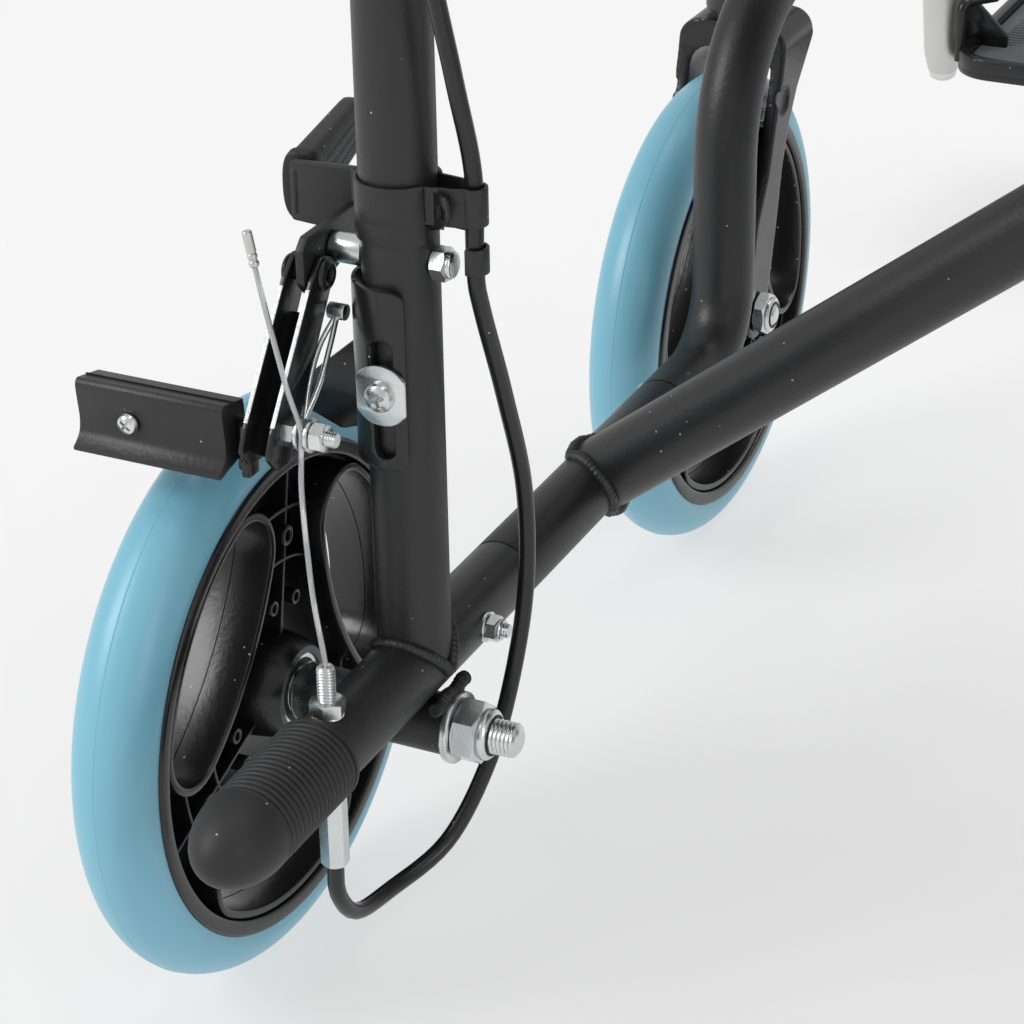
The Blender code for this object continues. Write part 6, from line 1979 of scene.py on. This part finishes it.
# %% Tray with its tread
def footplate():
    low, high = PLATE_Z
    floor = low + 0.0055
    corners = rectangle((PLATE_X[0], PLATE_Y[0]), (PLATE_X[1], PLATE_Y[1]))
    outline = rounded_outline(corners, 0.020, 12)
    inner = inset(outline, 0.0060)
    parts = [(plate(outline, "z", low, floor, 0.0016), "wheel_plastic")]
    parts.append((plate(outline, "z", low + 0.002, high, 0.0018, [inner]), "wheel_plastic"))
    parts.append((plate(inset(outline, 0.0064), "z", floor - 0.001, floor + 0.0016, 0.0005), "tread_grey"))
    first = [
        (PLATE_X[0] + 0.014, PLATE_Y[0] + 0.012, floor + 0.0016),
        (PLATE_X[1] - 0.014, PLATE_Y[0] + 0.012, floor + 0.0016)
    ]
    parts.append(grown(RIBS, line_mesh(first), "tread_grey", Ribs=30, Pitch=0.0040, Bead=0.0006))
    under = low - 0.0002
    for share in (0.25, 0.5, 0.75):
        x = PLATE_X[0] + (PLATE_X[1] - PLATE_X[0]) * share
        rib_start = (x - 0.0015, PLATE_Y[0] + 0.010, under)
        rib_end = (x + 0.0015, PLATE_Y[1] - 0.010, low + 0.002)
        parts.append((block(rib_start, rib_end, 0.0006), "wheel_plastic"))
    y = shin_point(PLATE_PIVOT_Z).y
    eye = [
        (PLATE_X[1] - 0.020, low + 0.001), (PLATE_X[1] - 0.001, low + 0.001),
        (SHIN_X + 0.0065, PLATE_PIVOT_Z - 0.006)
    ]
    eye += [
        (SHIN_X + 0.0065, PLATE_PIVOT_Z + 0.006), (SHIN_X - 0.008, PLATE_PIVOT_Z + 0.006),
        (PLATE_X[1] - 0.020, high + 0.002)
    ]
    front = y - SHIN_R - HINGE_GAP
    hole = [arc_points((SHIN_X, PLATE_PIVOT_Z), 0.0045, 0, 348, 29)]
    eye_mesh = plate(rounded_outline(eye, 0.0045, 8), "y", front - HINGE_WALL, front, 0.0012, hole)
    parts.append((eye_mesh, "wheel_plastic"))
    beside = PLATE_X[1] - 0.0010
    stop = [
        (beside, y + 0.006, low + 0.004), (beside, y + 0.006, PLATE_PIVOT_Z + 0.005),
        (beside - 0.012, front, PLATE_PIVOT_Z + 0.004)
    ]
    parts.append((bent_tube(stop, 0.0026, 0.005, 28), "wheel_plastic"))
    return parts


both_sides("bent_hanger", footrest_hanger(), "footrest", ["footrest_hanger"])
both_sides("bright_sliding_tube", footrest_tube(), "footrest", ["footrest_tube"])
both_sides("ribbed_tray", footplate(), "plate", ["footplate"])

# %% [markdown]
# The side guard is a thin moulded sheet with a raised border, screwed to the side
# frame. The arm pad is foam under vinyl: a simulated swelling rounds it between its
# corners, its underside stays flat on the tube, and a piped seam runs round it.

# %% Side guard
def side_guard():
    rear = -TUBE_R - 0.005
    low = SUPPORT_Z - 0.006
    corners = [(UPRIGHT_Y - 0.006, low), (rear, low), (rear, POST_BEND_Z)]
    corners += [
        (post_point(ARM_Z).y + rear, ARM_Z - 0.010), (UPRIGHT_Y + 0.030, ARM_Z - 0.010),
        (UPRIGHT_Y - 0.006, ARM_Z - 0.046)
    ]
    inner = RAIL_X + TUBE_R + 0.0023
    face = inner + 0.003
    outline = rounded_outline(corners, 0.012, 8)
    parts = [(plate(outline, "x", inner, face, 0.0008), "wheel_plastic")]
    opening = [inset(outline, 0.0095)]
    border = plate(inset(outline, 0.0035), "x", face - 0.0008, face + 0.0014, 0.0007, opening)
    parts.append((border, "wheel_plastic"))
    for y, z in ((-0.060, SUPPORT_Z + 0.011), (-0.330, SUPPORT_Z + 0.011), (-0.389, 0.520), (-0.389, 0.610)):
        parts.append((cross_head((face, y, z), (face + 0.0024, y, z), 0.0042, 0.3 + z), "zinc"))
        parts.append((rod((RAIL_X + TUBE_R, y, z), (inner + 0.0005, y, z), 0.0045), "wheel_plastic"))
    return parts


both_sides("bordered_side_guard", side_guard(), "frame", ["side_panel"])

# %% Arm pads
PAD_Y = (-0.365, -0.075)
PAD_HALF = 0.024
PAD_HEIGHT = 0.026
PAD_LOW = ARM_Z + TUBE_R + GAP
PAD_SWELL = 0.005


def swollen(mesh, voxel, pressure, swell, low):
    """Padding blown up by a cloth simulation, kept within a swell and flat where it rests."""
    home = softened(mesh, voxel, 2)
    thing = as_object(home)
    air = thing.modifiers.new("air", "CLOTH")
    air.settings.use_pressure = True
    air.settings.uniform_pressure_force = pressure
    air.settings.effector_weights.gravity = 0
    for number in range(1, 21):
        bpy.context.scene.frame_set(number)
    blown = harvested(thing)
    bpy.context.scene.frame_set(1)
    for vert, rest in zip(blown.vertices, home.vertices):
        move = vert.co - rest.co
        if move.length > swell:
            move *= swell / move.length
        vert.co = rest.co + move
        vert.co.z = max(vert.co.z, low)
    thing = as_object(blown)
    thing.modifiers.new("round", "SUBSURF").levels = 1
    return harvested(thing)


def arm_pad():
    slim = 0.0035
    corners = rectangle((RAIL_X - PAD_HALF, PAD_Y[0]), (RAIL_X + PAD_HALF, PAD_Y[1]))
    outline = rounded_outline(corners, 0.020, 10)
    foam = plate(inset(outline, slim), "z", PAD_LOW, PAD_LOW + PAD_HEIGHT - slim, 0.006)
    parts = [(swollen(foam, 0.004, 4.0, PAD_SWELL * 0.6, PAD_LOW), "arm_vinyl")]
    line = [(a, b, PAD_LOW + 0.0045) for a, b in inset(outline, 0.0016)]
    parts.append((sweep(line + line[:1], 0.0013, 12), "arm_vinyl"))
    parts.append((plate(inset(outline, 0.006), "z", PAD_LOW, PAD_LOW + 0.003, 0.0006), "wheel_plastic"))
    return parts


for pad in both_sides("piped_arm_pad", arm_pad(), "frame", ["armrest_pad"]):
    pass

# %% [markdown]
# The seat is one sling between the two seat rails: it wraps over each rail, sags in
# the middle and is held by a row of screws. Its hems are folded and stitched twice.

# %% Cloth helpers
def cloth(rows, wall, keep=None):
    """A sheet with a thickness from rows of points, and the area of its middle surface."""
    bm = bmesh.new()
    grid = [[bm.verts.new(point) for point in row] for row in rows]
    for upper, lower in zip(grid, grid[1:]):
        for k in range(len(upper) - 1):
            corners = (upper[k], upper[k + 1], lower[k + 1], lower[k])
            middle = sum((vert.co for vert in corners), Vector()) / 4
            if keep is None or keep(middle):
                bm.faces.new(corners)
    loose = [vert for vert in bm.verts if not vert.link_faces]
    bmesh.ops.delete(bm, geom=loose, context="VERTS")
    area = sum(face.calc_area() for face in bm.faces)
    mesh = bpy.data.meshes.new("cloth")
    bm.to_mesh(mesh)
    bm.free()
    thing = as_object(mesh)
    thick = thing.modifiers.new("thick", "SOLIDIFY")
    thick.thickness = wall
    thick.offset = 0
    return harvested(thing), area


def spaced(low, high, step):
    count = max(1, round(abs(high - low) / step))
    return [low + (high - low) * k / count for k in range(count + 1)]


# %% Seat sling
SEAT_Y = (SEAT_RAIL_ENDS[0] - 0.004, SEAT_RAIL_ENDS[1] + 0.004)
SEAT_WALL = 0.0016
SEAT_SAG = 0.012
WRAP_R = SEAT_RAIL_R + 0.0003 + SEAT_WALL / 2


def seat_row(y, lift=0.0):
    """The sling's section at one depth, from outside the left rail to outside the right one."""
    reach = WRAP_R + lift
    over = [Vector((a, y, b)) for a, b in arc_points((RAIL_X, SEAT_RAIL_Z), reach, -8, 90, 14)]
    inner = RAIL_X - SEAT_RAIL_R
    across = []
    for x in spaced(RAIL_X - 0.004, -RAIL_X + 0.004, 0.007):
        share = min(1.0, abs(x) / inner)
        slack = SEAT_SAG * (1 - share**2) * (0.92 + 0.08 * math.cos(9 * (y + 0.2)))
        broad = 0.0007 * math.sin(95 * y + 2.4 * math.sin(11 * x)) * (1 - share**4)
        fine = 0.0004 * math.sin(160 * y + 40 * abs(x)) * share**6
        fold = broad + fine
        across.append(Vector((x, y, SEAT_RAIL_Z + reach - slack + fold)))
    back = [Vector((-point.x, point.y, point.z)) for point in reversed(over)]
    return over + across + back


def seat_sling():
    rows = [seat_row(y) for y in spaced(SEAT_Y[0], SEAT_Y[1], 0.006)]
    mesh, area = cloth(rows, SEAT_WALL)
    return mesh, area, path_length(seat_row(-0.2))


def seat_seams():
    """The folded hems, their stitches and a stitched line inside each rail."""
    parts = []
    for edge, way in ((SEAT_Y[0] + 0.0004, -1), (SEAT_Y[1] - 0.0004, 1)):
        rows = [seat_row(edge + way * step, SEAT_WALL) for step in (0, 0.0045, 0.009, 0.0135, 0.018)]
        parts.append((cloth(rows, SEAT_WALL * 0.9)[0], "seat_cloth"))
        for inward in (0.0035, 0.0150):
            parts.append(stitched(seat_row(edge + way * inward, SEAT_WALL * 1.5)[8:-8]))
    depths = spaced(SEAT_Y[0] - 0.020, SEAT_Y[1] + 0.020, 0.004)
    for index in (17, 18, -18, -19):
        parts.append(stitched([seat_row(y, SEAT_WALL * 0.55)[index] for y in depths]))
    return parts


def seat_screws():
    top = SEAT_RAIL_Z + WRAP_R + SEAT_WALL * 0.5
    parts = []
    for y in spaced(SEAT_Y[0] - 0.035, SEAT_Y[1] + 0.035, 0.070):
        parts.append((rod((RAIL_X, y, top - 0.0002), (RAIL_X, y, top + 0.0008), 0.0062, 0.0003), "zinc"))
        parts.append(
            (cross_head((RAIL_X, y, top + 0.0008), (RAIL_X, y, top + 0.0028), 0.0036, 0.5 + 9 * y), "zinc")
        )
    return parts


sling, sling_area, sling_width = seat_sling()
seat = assemble("stitched_seat_sling", [(sling, "seat_cloth")], None, ["seat_cover"])
seams = assemble("seat_hems_and_stitches", seat_seams(), None)
for cover in (seat, seams):
    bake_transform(cover)
for side, body in ((1, "brace_b"), (-1, "brace_a")):
    assemble(f"seat_screws_{body[-1]}", seat_screws(), body, side=side)

# %% [markdown]
# The back is cloth too. A sewn loop goes round each post, with a slot where the arm
# tube joins it, and a panel is stretched between the loops. The loops stay on their
# posts.

# %% Back loops and panel
BACK_Z = (0.540, 0.885)
BACK_WALL = 0.0016
BACK_LOOP_R = TUBE_R + 0.0003 + BACK_WALL / 2
BACK_NOTCH = TUBE_R + 0.003
PANEL_X = RAIL_X - 0.017


def back_place(x, depth, z):
    """A point of the back at a depth behind the posts' middle line, measured square to the lean."""
    y = post_point(z).y
    return Vector((x, y + depth * math.cos(POST_LEAN), z - depth * math.sin(POST_LEAN)))


def loop_row(z):
    points = []
    for a, b in arc_points((RAIL_X, 0), BACK_LOOP_R, 222, -90, 40):
        points.append(back_place(a, b, z))
    for x in spaced(RAIL_X - 0.003, PANEL_X - 0.010, 0.003):
        points.append(back_place(x, -BACK_LOOP_R - 0.0002, z))
    return points


def clear_of_arm(place):
    beside = abs(place.x - RAIL_X) < BACK_NOTCH
    return not (beside and abs(place.z - ARM_Z) < BACK_NOTCH and place.y < post_point(ARM_Z).y)


def back_heights():
    low, high = BACK_Z
    edges = (low, ARM_Z - BACK_NOTCH, ARM_Z + BACK_NOTCH, high)
    made = []
    for start, end in zip(edges, edges[1:]):
        made += spaced(start, end, 0.006)[(1 if made else 0):]
    return made


def panel_row(z, lift=0.0):
    low, high = BACK_Z
    points = []
    for x in spaced(PANEL_X, -PANEL_X, 0.006):
        share = abs(x) / PANEL_X
        slack = 0.0
        if low < z < high:
            slack = 0.0035 * (1 - share**2) * math.sin(math.pi * (z - low) / (high - low)) ** 0.5
        fold = 0.0006 * math.sin(80 * z + 2.0 * math.sin(14 * x)) * (1 - share**4)
        points.append(back_place(x, -BACK_LOOP_R - BACK_WALL - 0.0004 - lift + slack + fold, z))
    return points


def back_hems(row, wall_lift):
    """Folded strips along the top and bottom edges, each sewn down twice."""
    parts = []
    for edge, way in ((BACK_Z[0] + 0.0004, 1), (BACK_Z[1] - 0.0004, -1)):
        rows = [row(edge + way * step, wall_lift) for step in (0, 0.005, 0.010, 0.015, 0.020)]
        parts.append((cloth(rows, BACK_WALL * 0.9)[0], "back_cloth"))
        for inward in (0.0035, 0.0170):
            parts.append(stitched(row(edge + way * inward, wall_lift + BACK_WALL * 0.55)[1:-1]))
    return parts


def back_loop():
    mesh, area = cloth([loop_row(z) for z in back_heights()], BACK_WALL, clear_of_arm)
    return mesh, area, path_length(loop_row(0.6))


def back_panel():
    mesh, area = cloth([panel_row(z) for z in spaced(BACK_Z[0], BACK_Z[1], 0.006)], BACK_WALL)
    return mesh, area, path_length(panel_row(0.7))


def panel_seams():
    parts = back_hems(panel_row, BACK_WALL)
    heights = spaced(BACK_Z[0] + 0.022, BACK_Z[1] - 0.022, 0.004)
    for index in (1, 3, -2, -4):
        parts.append(stitched([panel_row(z, BACK_WALL * 0.55)[index] for z in heights]))
    return parts


loop_mesh, loop_area, loop_width = back_loop()
for side, label in SIDES:
    nodes = ["back_cover"] if side > 0 else []
    loop = assemble(
        f"sewn_back_loop_{label}", [(loop_mesh, "back_cloth")], f"frame_{label}", nodes, side,
    )

panel_mesh, panel_area, panel_width = back_panel()
panel = assemble("stretched_back_panel", [(panel_mesh, "back_cloth")], "frame_left")
panel_trim = assemble("back_hems_and_stitches", panel_seams(), "frame_left")
for cover in (panel, panel_trim):
    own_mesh(cover)
print(
    "pieces:", len(counts), "triangles:", sum(counts.values()), "largest:", max(counts, key=counts.get),
    max(counts.values())
)
